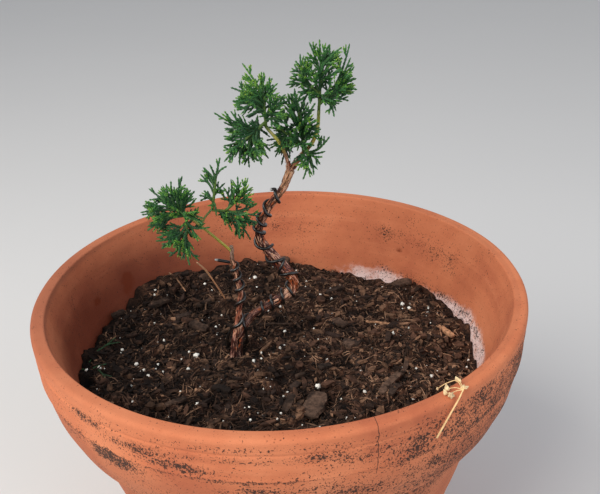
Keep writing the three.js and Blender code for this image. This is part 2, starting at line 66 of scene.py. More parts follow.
def makeCamera(view):
    # forward = (sin turn cos pitch, cos turn cos pitch, -sin pitch); right and up are then rolled about it
    pitch, turn, roll = np.radians([view["pitchDown"], view["turnRight"], view["roll"]])
    forward = np.array([np.sin(turn) * np.cos(pitch), np.cos(turn) * np.cos(pitch), -np.sin(pitch)])
    levelRight = np.array([np.cos(turn), -np.sin(turn), 0.0])
    levelUp = np.cross(levelRight, forward)
    right = np.cos(roll) * levelRight + np.sin(roll) * levelUp
    up = np.cos(roll) * levelUp - np.sin(roll) * levelRight
    data = bpy.data.cameras.new("photoView")
    data.lens = view["lens"]
    data.sensor_width = view["sensor"]
    data.shift_x = view["shiftX"]
    data.clip_end = 50
    bpy.context.scene.camera = placeObject("photoView", data, right, up, -forward, view["place"])


makeCamera(cameraView)
print("camera set")

# Numbers, noise and curves


def unit(vectors):
    return vectors / np.maximum(np.linalg.norm(vectors, axis=-1, keepdims=True), 1e-12)


def smoothRise(x, low, high):
    # 3t² - 2t³, where t goes from 0 at low to 1 at high
    t = np.clip((x - low) / (high - low), 0, 1)
    return t * t * (3 - 2 * t)


def hill(x, middle, width):
    # exp(-((x - middle) / width)²)
    return np.exp(-(((x - middle) / width) ** 2))


def turnFrom(angle, middle):
    # the shortest way round from one angle to another, in degrees
    return (angle - middle + 180) % 360 - 180


def softNoise(points, seed):
    # random heights at whole-number corners, blended by 3t² - 2t³ along each axis, from -1 to 1
    cell = np.floor(points).astype(np.int64)
    t = points - cell
    t = t * t * (3 - 2 * t)
    total = np.zeros(points.shape[:-1])
    for corner in np.ndindex(2, 2, 2):
        x, y, z = np.moveaxis(cell + np.array(corner), -1, 0)
        mixed = x * 374761393 + y * 668265263 + z * 1274126177 + seed * 974634777
        mixed = (mixed ^ (mixed >> 13)) * 1103515245
        mixed = (mixed ^ (mixed >> 16)) & 65535
        total += (mixed / 32767.5 - 1) * np.prod(np.where(corner, t, 1 - t), axis=-1)
    return total


def layeredNoise(points, seed, layers, fall=0.5):
    # the sum of softNoise at 1, 2, 4... times the scale, each layer fall times as high as the last
    return sum(softNoise(points * 2**layer, seed + layer) * fall**layer for layer in range(layers))


def splineAt(knots, places):
    # uniform Catmull-Rom spline through the knots; a place counts in knots, from 0 to the last
    knots = np.asarray(knots, float)
    padded = np.vstack([2 * knots[0] - knots[1], knots, 2 * knots[-1] - knots[-2]])
    places = np.asarray(places, float)
    first = np.clip(np.floor(places).astype(int), 0, len(knots) - 2)
    t = (places - first)[..., None]
    before, start, end, after = (padded[first + step] for step in range(4))
    slopeIn, slopeOut = (end - before) / 2, (after - start) / 2
    cubic = 2 * (start - end) + slopeIn + slopeOut
    square = 3 * (end - start) - 2 * slopeIn - slopeOut
    return ((cubic * t + square) * t + slopeIn) * t + start


def throughPoints(points, steps):
    # centripetal Catmull-Rom: knot times grow by the square root of each chord, and each span is a blend of
    # straight blends between its four points
    points = np.asarray(points, float)
    padded = np.vstack([2 * points[0] - points[1], points, 2 * points[-1] - points[-2]])
    gaps = np.sqrt(np.linalg.norm(np.diff(padded, axis=0), axis=1))
    a, b, c, d = padded[:-3, None], padded[1:-2, None], padded[2:-1, None], padded[3:, None]
    ga, gb, gc = (gaps[i:len(gaps) - 2 + i, None, None] for i in range(3))
    t = np.linspace(0, 1, steps, endpoint=False)[None, :, None] * gb
    ab, bc, cd = a + (b - a) * (t + ga) / ga, b + (c - b) * t / gb, c + (d - c) * (t - gb) / gc
    abc = ab + (bc - ab) * (t + ga) / (ga + gb)
    bcd = bc + (cd - bc) * t / (gb + gc)
    return np.vstack([(abc + (bcd - abc) * t / gb).reshape(-1, 3), points[-1]])


def squareTo(direction, tangent):
    # what is left of a direction once its part along the tangent is taken away, made one long
    return unit(direction - tangent * np.sum(direction * tangent, -1, keepdims=True))


def lengthsAlong(line):
    # the length of the line up to each of its points
    return np.concatenate([[0], np.cumsum(np.linalg.norm(np.diff(line, axis=0), axis=1))])


def roundPoints(spin, along, around, length):
    # places for noise on a tube: a circle whose radius is around, and along / length from end to end
    return np.stack([np.cos(spin) * around, np.sin(spin) * around, along / length], -1)


def drawSizes(limits, power, count, random):
    # low + (high - low) · share to the power, where the share is even, so that small sizes are the commonest
    low, high = limits
    return low + (high - low) * random.uniform(0, 1, count) ** power


# Meshes


def screenColour(colour):
    # a screen value v is linear ((v + 0.055) / 1.055) to the 2.4, and v / 12.92 near black
    value = np.array(colour) / 255
    return np.where(value > 0.04045, ((value + 0.055) / 1.055) ** 2.4, value / 12.92)


def solidVolume(points, triangles):
    # a sixth of the sum of a · (b x c) over the triangles
    a, b, c = (points[triangles[:, i]] for i in range(3))
    return np.einsum("ij,ij->", a, np.cross(b, c)) / 6


def makePiece(name, points, quads, triangles, material, slotName, nodes=(), shades=None, smooth=True):
    # points are millimetres; the faces are turned outwards if the volume comes out negative
    points = np.asarray(points, float).reshape(-1, 3)
    quads = np.asarray(quads, np.int32).reshape(-1, 4)
    triangles = np.asarray(triangles, np.int32).reshape(-1, 3)
    halves = np.vstack([quads[:, [0, 1, 2]], quads[:, [0, 2, 3]], triangles])
    if solidVolume(points - points.mean(0), halves) < 0:
        quads, triangles = quads[:, ::-1], triangles[:, ::-1]
    mesh = bpy.data.meshes.new(name)
    mesh.vertices.add(len(points))
    mesh.vertices.foreach_set("co", (points * mm).astype(np.float32).ravel())
    mesh.loops.add(quads.size + triangles.size)
    mesh.loops.foreach_set("vertex_index", np.concatenate([quads.ravel(), triangles.ravel()]))
    mesh.polygons.add(len(quads) + len(triangles))
    starts = np.concatenate([np.arange(len(quads)) * 4, quads.size + np.arange(len(triangles)) * 3])
    mesh.polygons.foreach_set("loop_start", starts.astype(np.int32))
    mesh.polygons.foreach_set("use_smooth", np.full(len(starts), smooth))
    for title, values in (shades or {}).items():
        values = np.asarray(values, np.float32)
        if values.ndim == 1:
            mesh.attributes.new(title, "FLOAT", "POINT").data.foreach_set("value", values)
        else:
            full = np.column_stack([values, np.ones(len(values), np.float32)])
            mesh.attributes.new(title, "FLOAT_COLOR", "POINT").data.foreach_set("color", full.ravel())
    mesh.update(calc_edges=True)
    mesh.validate()
    mesh.materials.append(material)
    piece = bpy.data.objects.new(name, mesh)
    bpy.context.scene.collection.objects.link(piece)
    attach(piece, "root")
    if nodes:
        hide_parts(*nodes)
    return piece


def gridQuads(index):
    # one quad for each cell of a grid of corner numbers
    return np.stack([index[:-1, :-1], index[:-1, 1:], index[1:, 1:], index[1:, :-1]], -1).reshape(-1, 4)


def repeatFaces(faces, corners, count):
    # the same faces for each of count copies, whose corners are numbered on
    faces = np.asarray(faces)
    return (faces + (np.arange(count) * corners)[:, None, None]).reshape(-1, faces.shape[-1])


def tubesAlong(line, across, upward, radii, tip=None):
    # ring point = line + radius (cos a · across + sin a · upward), in arrays of (tubes, rings, ...); quads
    # join each ring to the next, and fans join the end rings to a point each, numbered after the rings
    tubes, rings, sides = radii.shape
    angle = np.arange(sides) * 2 * np.pi / sides
    spoke = across[:, :, None] * np.cos(angle)[:, None] + upward[:, :, None] * np.sin(angle)[:, None]
    skin = (line[:, :, None] + spoke * radii[..., None]).reshape(tubes, rings * sides, 3)
    tip = line[:, -1] if tip is None else tip
    points = np.concatenate([skin, line[:, :1], tip[:, None]], 1).reshape(-1, 3)
    index = np.pad(np.arange(rings * sides).reshape(rings, sides), ((0, 0), (0, 1)), mode="wrap")
    foot, end = np.full(sides, rings * sides), np.full(sides, rings * sides + 1)
    fans = np.vstack([np.stack([foot, index[0, 1:], index[0, :-1]], -1),
                      np.stack([end, index[-1, :-1], index[-1, 1:]], -1)])
    corners = rings * sides + 2
    return points, repeatFaces(gridQuads(index), corners, tubes), repeatFaces(fans, corners, tubes)


def squareAxes(line, towards):
    # an axis made square to the line from a given direction, and the cross product of the line's way and it
    tangent = unit(np.gradient(line, axis=-2))
    across = squareTo(towards, tangent)
    return across, np.cross(tangent, across)


# Materials and the nodes that colour them


def newMaterial(name, roughness, specular=0.5):
    material = bpy.data.materials.new(name)
    material.use_nodes = True
    tree = material.node_tree
    tree.nodes.clear()
    output = tree.nodes.new("ShaderNodeOutputMaterial")
    shader = tree.nodes.new("ShaderNodeBsdfPrincipled")
    tree.links.new(shader.outputs["BSDF"], output.inputs["Surface"])
    shader.inputs["Roughness"].default_value = roughness
    shader.inputs["Specular IOR Level"].default_value = specular
    place = tree.nodes.new("ShaderNodeTexCoord").outputs["Object"]
    return material, shader, place


def feed(socket, value):
    # a node's output is linked to the socket, and a number or colour becomes its value
    if isinstance(value, bpy.types.NodeSocket):
        socket.id_data.links.new(value, socket)
    elif socket.type == "RGBA":
        socket.default_value = (*value, 1.0)
    else:
        socket.default_value = value


def nodeOf(kind, inputs, output=0, **settings):
    # the new node stands in the tree of the nodes that feed it, and its output is given back
    tree = next(value.id_data for value in inputs.values() if isinstance(value, bpy.types.NodeSocket))
    node = tree.nodes.new(kind)
    for title, value in settings.items():
        setattr(node, title, value)
    for key, value in inputs.items():
        feed(node.inputs[key], value)
    return node.outputs[output]


def noiseOf(place, scale, detail=4.0, rough=0.55, warp=0.0):
    inputs = {"Vector": place, "Scale": scale, "Detail": detail, "Roughness": rough, "Distortion": warp}
    return nodeOf("ShaderNodeTexNoise", inputs, "Fac")


def mathOf(operation, first, second=0.0):
    return nodeOf("ShaderNodeMath", {0: first, 1: second}, operation=operation)


def plus(first, second):
    return mathOf("ADD", first, second)


def minus(first, second):
    return mathOf("SUBTRACT", first, second)


def times(first, second):
    return mathOf("MULTIPLY", first, second)


def stepOf(value, low, high):
    inputs = {"Value": value, "From Min": low, "From Max": high}
    return nodeOf("ShaderNodeMapRange", inputs, "Result", interpolation_type="SMOOTHSTEP")


def mixOf(share, first, second, blend="MIX"):
    return nodeOf("ShaderNodeMix", {0: share, 6: first, 7: second}, 2, data_type="RGBA", blend_type=blend)


def rampOf(value, stops):
    node = value.id_data.nodes.new("ShaderNodeValToRGB")
    feed(node.inputs["Fac"], value)
    elements = node.color_ramp.elements
    while len(elements) < len(stops):
        elements.new(0.5)
    for element, (place, colour) in zip(elements, stops):
        element.position = place
        element.color = (*screenColour(colour), 1.0)
    return node.outputs["Color"]


def attributeOf(shader, title, output="Fac"):
    node = shader.id_data.nodes.new("ShaderNodeAttribute")
    node.attribute_name = title
    return node.outputs[output]


def bumpOf(shader, heights):
    # each height has its own strength and depth, and each bump starts from the one before
    inputs = {}
    for height, strength, depth in heights:
        inputs.update({"Height": height, "Strength": strength, "Distance": depth * mm})
        inputs["Normal"] = nodeOf("ShaderNodeBump", inputs, "Normal")
    feed(shader.inputs["Normal"], inputs["Normal"])


# Clay pot: a profile of radius and height turned round the upright axis

potSize = {
    "height": 222, "rimRadius": 152, "lipWidth": 8.4, "bandHeight": 27, "bandTaper": 1.4, "ledgeStep": 0.8,
    "collarHeight": 61, "collarFootRadius": 140, "collarWaist": (0.45, 3.6), "neckRadius": 132.5,
    "footRadius": 85, "wall": 8, "floor": 10, "drainRadius": 12, "soilLevel": 172, "soilRadius": 127.2,
    "columns": 360, "cornerPoints": 7,
    # heights, and the radius halfway through the wall there
    "wallMiddle": ((0, 161, 222), (80, 128, 147)),
    # height, half-width and depth
    "grooves": ((212.5, 0.7, 0.5), (206, 1.3, 0.175), (201, 1.6, 0.125)),
}
clayLook = {
    # the damp colour is damp and painted shade on the inner left wall; the dull colour is painted shade low on
    # the outer wall
    "light": (220, 138, 98), "middle": (206, 122, 84), "deep": (180, 98, 68), "damp": (112, 52, 34),
    "rust": (112, 46, 20), "salt": (240, 214, 210), "film": (104, 72, 56), "dull": (150, 90, 68),
    "speck": (42, 36, 34), "grain": 0.06,
    # degrees and lowest height of the hairline crack, and its half-width in degrees
    "crack": (-73.2, 191, 0.0764),
    # noise scale and detail, the highest level that a speck starts at, and its fall where specks crowd
    "speckLayers": ((760.0, 2.0, 0.73, 0.185), (480.0, 4.0, 0.765, 0.19), (960.0, 1.0, 0.735, 0.175)),
    # strength, middle and half-width in degrees, middle and half-width in height
    "outerSpecks": ((1.25, -24, 26, 200, 30), (1.12, -46, 22, 203, 26), (1.2, -24, 44, 170, 34),
                    (0.75, 20, 36, 195, 22), (0.98, -54, 18, 148, 24), (0.9, -60, 9, 213, 8),
                    (1.0, -62, 15, 201, 15), (0.78, -76, 12, 206, 10), (0.95, -92, 18, 187, 5),
                    (0.9, -100, 26, 216.5, 2.8), (0.84, -98, 34, 208.5, 2.2), (0.9, -84, 8, 210, 4),
                    (1.2, -112, 12, 201, 4.5), (1.75, -128, 8, 190, 7), (1.3, -120, 9, 206, 5),
                    (1.3, -133, 6, 211, 5), (0.95, -106, 26, 195, 2.6), (0.95, -78, 16, 181, 9),
                    (1.02, -50, 30, 176, 20), (0.8, -140, 10, 192, 10), (0.95, -90, 70, 152, 32),
                    (0.6, 110, 60, 190, 30), (0.55, -160, 30, 185, 22)),
    "innerSpecks": ((0.75, 32, 15, 200, 10), (0.8, 52, 9, 201, 7), (0.5, 90, 30, 200, 14),
                    (0.75, 20, 40, 175, 5)),
    # the same, and the millimetres by which the spot slants for each degree
    "rustSpots": ((1.1, 145.5, 2.9, 188, 8, 1.2), (1.0, 160, 1.9, 190.5, 3.6, 0), (0.8, 47, 1.6, 191, 2, 0)),
    # degrees and the height that the pale salt reaches, and the degrees where it comes and goes
    "saltTops": ((-16, 178), (-8, 179.5), (7, 181), (20, 178), (27, 176), (33, 174), (38, 171), (41, 171),
                 (44, 173.5), (51, 175.5), (60, 175), (68, 172), (76, 170)),
    "saltEnds": ((-22, -8), (60, 76)),
}


def potProfile(size):
    # straight runs and quarter-round corners; every run is cut into equal steps
    top, ledge = size["height"], size["height"] - size["bandHeight"]
    collarFoot = top - size["collarHeight"]
    band = size["rimRadius"] - size["bandTaper"]
    waistShare, waistDepth = size["collarWaist"]
    lipInner = size["rimRadius"] - size["lipWidth"]
    innerFoot = size["footRadius"] + (size["neckRadius"] - size["footRadius"]) * size["floor"] / collarFoot
    corners = [  # radius, height, corner radius, steps of the run that starts here
        (size["drainRadius"], 0, 1.0, 16), (size["footRadius"], 0, 2.5, 34),
        (size["neckRadius"], collarFoot, 1.2, 4), (size["collarFootRadius"], collarFoot, 2.2, 9),
        (band - size["ledgeStep"] - waistDepth, collarFoot + (ledge - collarFoot) * waistShare, 6.0, 13),
        (band - size["ledgeStep"], ledge, 0.25, 2), (band, ledge + size["ledgeStep"], 0.5, 42),
        (size["rimRadius"], top, 3.0, 4), (lipInner, top, 1.6, 34),
        (size["soilRadius"] + 0.3, size["soilLevel"], 4.0, 24),
        (innerFoot - size["wall"], size["floor"], 4.0, 12),
        (size["drainRadius"], size["floor"], 0.8, 5),
    ]
    at = np.array([corner[:2] for corner in corners], float)
    before, after = unit(np.roll(at, 1, 0) - at), unit(np.roll(at, -1, 0) - at)
    half = np.arccos(np.clip(np.sum(before * after, 1), -1, 1)) / 2
    rounding = np.array([corner[2] for corner in corners])
    setback = rounding / np.tan(half)
    outline = []
    for i, (_, _, _, steps) in enumerate(corners):
        share = np.linspace(0, 1, size["cornerPoints"])[:, None]
        start, end = at[i] + before[i] * setback[i], at[i] + after[i] * setback[i]
        outline.append((1 - share) ** 2 * start + 2 * share * (1 - share) * at[i] + share**2 * end)
        following = (i + 1) % len(corners)
        stop = at[following] + before[following] * setback[following]
        share = np.linspace(0, 1, steps + 1)[1:-1, None]
        outline.append(end + (stop - end) * share)
    return np.vstack(outline)


def patchOf(angle, height, strength, middle, halfAngle, level, halfHeight, slant=0.0):
    # strength · hill of the angle · hill of the height, which slants by the degrees from the patch's middle
    turn = turnFrom(angle, middle)
    return strength * hill(turn, 0, halfAngle) * hill(height + slant * turn, level, halfHeight)


def potMarks(angle, radius, height, size, look):
    # how thick the marks lie, from 0 up: specks are the strongest of their patches on a thin even layer, rust
    # is the sum of its spots, and salt, damp with painted shade on the inner left wall, and dullness with
    # painted shade low on the outer wall rise and fall smoothly with angle and height
    outer = radius > np.interp(height, *size["wallMiddle"])
    spin = np.radians(angle)
    wave, flow = softNoise(roundPoints(spin, height, 14, 6), 5), softNoise(roundPoints(spin, height, 6, 3), 6)
    outside, inside = (np.maximum.reduce([patchOf(angle, height, *patch) for patch in look[key]])
                       for key in ("outerSpecks", "innerSpecks"))
    ledge = size["height"] - size["bandHeight"]
    crease = hill(height, ledge - 0.6, 2.0) * (0.55 + 0.45 * smoothRise(np.abs(turnFrom(angle, -90)), 12, 36))
    outside = np.maximum(outside, 0.34) + 0.34 * crease + 0.16 * wave + 0.12 * flow
    outside = np.clip(outside * (1 - 0.75 * smoothRise(height, 215, 220.5)), 0, 1.6)
    inside = np.clip(np.maximum(inside, 0.2) + 0.15 * wave, 0, 1)
    around = turnFrom(angle, 30) + 30
    top = np.interp(around, *np.array(look["saltTops"]).T) + 1.2 * wave
    comes, goes = look["saltEnds"]
    reach = smoothRise(around, *comes) * (1 - smoothRise(around, *goes))
    salt = reach * (1 - smoothRise(height, top - 5.5, top + 3.5))
    left = smoothRise(np.abs(turnFrom(angle, -20)), 84, 164)
    # damp and painted shade: on the inner left wall the mark climbs nearly to the lip; near the soil all round
    # it is damp
    dampShadeTop = 186 + 32 * left + 2 * wave
    damp = (0.24 + 0.5 * left) * (1 - smoothRise(height, dampShadeTop - 32, dampShadeTop + 14))
    ring = (0.25 + 0.55 * smoothRise(np.abs(turnFrom(angle, 60)), 50, 84)) * (1 - reach)
    damp = np.maximum(damp, ring * (1 - smoothRise(height, 174, 180 + 3 * wave)))
    rust = sum(patchOf(angle, height, *spot) for spot in look["rustSpots"])
    # painted shade: the outer wall darkens towards its foot; the mark also dulls the inner wall and the left
    # lip
    dull = np.where(outer, 0.5 * (1 - smoothRise(height, 180, ledge)), 0.22)
    dull = np.maximum(dull, hill(turnFrom(angle, 178), 0, 46) * smoothRise(height, 216, 221))
    marks = {"salt": salt, "damp": np.clip(damp, 0, 1), "rust": rust}
    marks = {title: np.where(outer, 0, mark).ravel() for title, mark in marks.items()}
    return {**marks, "specks": np.where(outer, outside, inside).ravel(), "dull": dull.ravel()}


def clayMaterial(look):
    # mottled clay with paler bands and pits, and dullness with painted shade low on the outer wall, damp with
    # painted shade on the inner left wall, rust, salt, specks and the crack over it
    material, shader, place = newMaterial("weatheredClay", 0.82, 0.25)
    stops = [(0.3, look["deep"]), (0.5, look["middle"]), (0.7, look["light"])]
    colour = rampOf(noiseOf(place, 16.0, 5.0, 0.6), stops)
    bands = noiseOf(nodeOf("ShaderNodeMapping", {"Vector": place, "Scale": (1.0, 1.0, 9.0)}), 26.0, 4.0)
    colour = mixOf(times(stepOf(bands, 0.5, 0.75), 0.4), colour, screenColour(look["light"]))
    grain = noiseOf(place, 1500.0, 2.0)
    shadeUp = plus(times(grain, look["grain"] * 4), 1 - look["grain"] * 2)
    grey = nodeOf("ShaderNodeCombineColor", {0: shadeUp, 1: shadeUp, 2: shadeUp})
    colour = mixOf(1.0, colour, grey, "MULTIPLY")
    pits = nodeOf("ShaderNodeTexVoronoi", {"Vector": place, "Scale": 420.0}, "Distance")
    pitShare = times(minus(1.0, stepOf(pits, 0.08, 0.2)), stepOf(noiseOf(place, 60.0), 0.52, 0.6))
    colour = mixOf(times(pitShare, 0.6), colour, screenColour(look["deep"]) * 0.6)
    # the dull colour is painted shade low on the outer wall, and a dull film inside and on the left lip
    colour = mixOf(times(attributeOf(shader, "dull"), 0.75), colour, screenColour(look["dull"]))
    # damp near the soil, and damp with painted shade high on the inner left wall
    dampShadeEdge = stepOf(plus(attributeOf(shader, "damp"), times(noiseOf(place, 45.0), 0.3)), 0.16, 1.02)
    colour = mixOf(dampShadeEdge, colour, screenColour(look["damp"]))
    rust = plus(attributeOf(shader, "rust"), times(noiseOf(place, 130.0, 4.0, 0.65, 0.6), 1.3))
    colour = mixOf(times(stepOf(rust, 0.95, 1.4), 0.85), colour, screenColour(look["rust"]))
    salt = attributeOf(shader, "salt")
    crystals, drifts = noiseOf(place, 300.0, 6.0, 0.75), noiseOf(place, 75.0, 4.0, 0.6, 0.5)
    crusts = plus(times(salt, 0.55), plus(times(crystals, 1.3), times(drifts, 1.1)))
    saltShare = times(times(salt, 0.92), stepOf(crusts, 1.24, 1.86))
    colour = mixOf(saltShare, colour, screenColour(look["salt"]))
    specks = attributeOf(shader, "specks")
    cluster = minus(noiseOf(place, 105.0, 4.0, 0.6), 0.5)
    level = plus(plus(specks, times(cluster, 1.55)), times(salt, 0.35))
    packed, even = mathOf("MINIMUM", level, 1.25), plus(specks, times(cluster, 0.5))
    speckShare = 0.0
    for crowding, (scale, detail, highest, fall) in zip((packed, packed, even), look["speckLayers"]):
        islands = minus(noiseOf(place, scale, detail, 0.6, 0.4), minus(highest, times(crowding, fall)))
        speckShare = mathOf("MAXIMUM", speckShare, stepOf(islands, 0.0, 0.04))
    colour = mixOf(times(stepOf(level, 0.6, 1.5), 0.34), colour, screenColour(look["film"]))
    angle, lowest, halfAngle = look["crack"]
    x, y, z = (nodeOf("ShaderNodeSeparateXYZ", {0: place}, axis) for axis in range(3))
    wander = times(minus(noiseOf(place, 140.0, 3.0), 0.5), 0.022)
    off = mathOf("ABSOLUTE", plus(minus(mathOf("ARCTAN2", y, x), np.radians(angle)), wander))
    crack = times(mathOf("LESS_THAN", off, np.radians(halfAngle)), mathOf("GREATER_THAN", z, lowest * mm))
    dark = mathOf("MAXIMUM", times(speckShare, 0.9), times(crack, 0.85))
    feed(shader.inputs["Base Color"], mixOf(dark, colour, screenColour(look["speck"])))
    feed(shader.inputs["Roughness"], minus(0.86, times(dampShadeEdge, 0.25)))
    lift = plus(saltShare, times(speckShare, 0.4))
    hole = times(plus(pitShare, times(crack, 3.0)), -1.0)
    bumpOf(shader, [(grain, 0.35, 0.25), (bands, 0.3, 0.6), (lift, 0.5, 0.3), (hole, 0.8, 0.35)])
    return material


def makePot(size, look):
    # radius and height of the profile, turned through the columns; the hand's unevenness is soft noise
    profile = potProfile(size)
    angle = np.arange(size["columns"]) * 360 / size["columns"]
    radius, around = np.meshgrid(profile[:, 0], angle, indexing="ij")
    height = np.repeat(profile[:, 1:], size["columns"], 1)
    spin = np.radians(around)
    outside = radius > np.interp(height, *size["wallMiddle"])
    groove = sum(depth * hill(height, middle, width) for middle, width, depth in size["grooves"])
    ring = roundPoints(spin, height, 3, 60)
    uneven = 0.3 * softNoise(ring, 2) + 0.18 * softNoise(roundPoints(spin, height, 0.8, 3.1), 3)
    radius = radius - outside * groove + smoothRise(height, 4, 30) * uneven
    height = height + 0.25 * softNoise(ring * 0.7, 4) * smoothRise(height, 180, 222)
    points = np.stack([radius * np.cos(spin), radius * np.sin(spin), height], -1)
    index = np.pad(np.arange(radius.size).reshape(radius.shape), ((0, 1), (0, 1)), mode="wrap")
    marks = potMarks(around, radius, height, size, look)
    makePiece("clayPot", points, gridQuads(index), [], clayMaterial(look), "clay", ["pot"], marks)


makePot(potSize, clayLook)
print("pot turned")

# Soil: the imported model's low heaps with lumps and pits on them

soilSize = {
    "level": 172, "radius": 126.8, "bottom": (79.0, 10.6), "relief": 1.6, "heaps": (13, 17, 29, 11),
    "slantShare": 0.6, "calmRadius": 12, "calmAtWall": (0.8, 0.99), "trunkAt": (-29, -2), "cells": 300,
    "lumps": ((19, 2.4), (8.5, 3.0), (3.6, 1.9)), "noiseLevel": 7.3, "roughPastTrunk": (4, 16),
    "wallSlopes": (0.2935, 0.332), "wallFoot": (122.3, 156.0), "wallReach": (84, 122),
    # x, y, height and half-width
    "mounds": ((-22.0, 3.5, 8.0, 5.0), (-37.0, 3.5, 8.0, 5.0), (-30, 12, 4.0, 8), (4, 121, 3, 7),
               (-112, 47, 3, 9), (-68, 42, 2.5, 6), (-116, 28, 2, 12), (-78, 88, 3, 14), (-37, 57, 5.0, 6),
               (-104, -50, 3, 14)),
    "pits": ((-46, -14, 3.5, 5), (-1, -34, 4.5, 7), (-70, 8, 2.5, 8), (34, -20, 2.5, 8), (-10, -20, 2.0, 8),
             (52, 62, 2.0, 8), (-58, -40, 2.0, 9), (66, -30, 2.0, 7)),
    # level along the wall by degrees round from the right
    "edgeLevels": ((-60, 172), (-30, 170), (-5, 165), (1, 168), (7, 171), (20, 170.5), (34, 173.5), (42, 170),
                   (49, 166), (58, 163), (68, 164), (73, 168), (84, 170.5), (90, 174), (104, 175.5),
                   (118, 175), (132, 179), (140, 181), (148, 175), (156, 174), (176, 175), (186, 180.5),
                   (192, 181), (215, 176), (240, 172)),
}
soilLook = {
    "pit": (8, 5, 4), "dark": (27, 17, 13), "middle": (66, 45, 34), "dry": (110, 82, 64), "drierRight": 1.1,
}


def soilLumps(x, y):
    # the sum of rise · soft noise, in three widths
    level = np.full_like(x, soilSize["noiseLevel"])
    return sum(rise * softNoise(np.stack([x / width, y / width, level], -1), 40 + seed)
               for seed, (width, rise) in enumerate(soilSize["lumps"]))


def soilHeight(x, y):
    # level + relief · (sin(x / 13) cos(y / 17) + 0.6 sin(x / 29 - y / 11)), calm at the trunk and the wall,
    # with the lumps, the level along the wall and a few named mounds and pits added
    size = soilSize
    fromTrunk = np.hypot(x - size["trunkAt"][0], y - size["trunkAt"][1])
    fromAxis = np.hypot(x, y)
    calm = smoothRise(fromTrunk, size["calmRadius"], size["calmRadius"] * 2.5)
    calm = calm * (1 - smoothRise(fromAxis / potSize["soilRadius"], *size["calmAtWall"]))
    across, deep, slantAcross, slantDeep = size["heaps"]
    waves = np.sin(x / across) * np.cos(y / deep)
    waves = waves + size["slantShare"] * np.sin(x / slantAcross - y / slantDeep)
    wall = np.interp(np.degrees(np.arctan2(y, x)), *np.array(size["edgeLevels"]).T, period=360)
    height = size["level"] + size["relief"] * waves * calm
    height = height + (wall - size["level"]) * smoothRise(fromAxis, *size["wallReach"])
    height = height + (0.35 + 0.65 * smoothRise(fromTrunk, *size["roughPastTrunk"])) * soilLumps(x, y)
    for sign, bumps in ((1, size["mounds"]), (-1, size["pits"])):
        for atX, atY, rise, width in bumps:
            height = height + sign * rise * hill(np.hypot(x - atX, y - atY), 0, width)
    return height


def hollowOf(place, colour):
    # the same broad damp patches darken the soil and the bits that lie on it
    drier = times(nodeOf("ShaderNodeSeparateXYZ", {0: place}), soilLook["drierRight"])
    broad = stepOf(plus(noiseOf(place, 62.0, 3.0, 0.6, 0.4), drier), 0.36, 0.62)
    wet = mixOf(1.0, colour, (0.36, 0.33, 0.31), "MULTIPLY")
    dry = mixOf(1.0, colour, (1.44, 1.36, 1.3), "MULTIPLY")
    return mixOf(broad, wet, dry)


def soilMaterial(look):
    # coarse and fine noise, darkest in the pits between the lumps, as painted shade and damp
    material, shader, place = newMaterial("barkSoil", 0.93, 0.2)
    coarse, fine = noiseOf(place, 95.0, 6.0, 0.68), noiseOf(place, 620.0, 4.0, 0.7)
    # painted shade and damp: the lower the lumps' ground, the darker the soil
    value = plus(plus(times(coarse, 0.5), times(fine, 0.5)), times(attributeOf(shader, "lift"), 0.02))
    stops = [(0.36, look["pit"]), (0.46, look["dark"]), (0.58, look["middle"]), (0.72, look["dry"])]
    feed(shader.inputs["Base Color"], hollowOf(place, rampOf(value, stops)))
    bumpOf(shader, [(coarse, 0.8, 3.0), (fine, 0.8, 1.0)])
    return material


def makeSoil(size, look):
    # a square of cells is bent to a disc: x = u √(1 - v²/2) and y = v √(1 - u²/2), then walled and floored
    side = np.linspace(-1, 1, size["cells"] + 1)
    u, v = np.meshgrid(side, side, indexing="ij")
    x, y = size["radius"] * u * np.sqrt(1 - v * v / 2), size["radius"] * v * np.sqrt(1 - u * u / 2)
    top = np.stack([x, y, soilHeight(x, y)], -1).reshape(-1, 3)
    nearWall = (np.hypot(top[:, 0], top[:, 1]) / size["radius"])[:, None] ** 12
    above = top[:, 2:] - size["level"]
    slope = np.where(above < 0, *size["wallSlopes"])
    top[:, :2] *= 1 + nearWall * slope * above / size["radius"]
    index = np.arange(len(top)).reshape(u.shape)
    rim = np.concatenate([index[:-1, 0], index[-1, :-1], index[:0:-1, -1], index[0, :0:-1]])
    rings, points = [rim], [top]
    for radius, height in (size["wallFoot"], size["bottom"]):
        ring = top[rim].copy()
        ring[:, :2] *= radius / np.hypot(ring[:, 0], ring[:, 1])[:, None]
        ring[:, 2] = height
        rings.append(rings[-1].max() + 1 + np.arange(len(rim)))
        points.append(ring)
    walls = [np.stack([np.roll(upper, -1), upper, lower, np.roll(lower, -1)], -1)
             for upper, lower in zip(rings, rings[1:])]
    points = np.vstack([*points, (0, 0, size["bottom"][1])])
    fans = np.stack([np.roll(rings[-1], -1), rings[-1], np.full(len(rim), len(points) - 1)], -1)
    onTop = np.hypot(points[:, 0], points[:, 1]) <= size["radius"] + 4
    lift = np.where(onTop, np.clip(soilLumps(points[:, 0], points[:, 1]), -5, 5), 0)
    quads, material = np.vstack([gridQuads(index.T), *walls]), soilMaterial(look)
    makePiece("soilSurface", points, quads, fans, material, "soil", ["potting_soil"], {"lift": lift})


makeSoil(soilSize, soilLook)
print("soil filled")

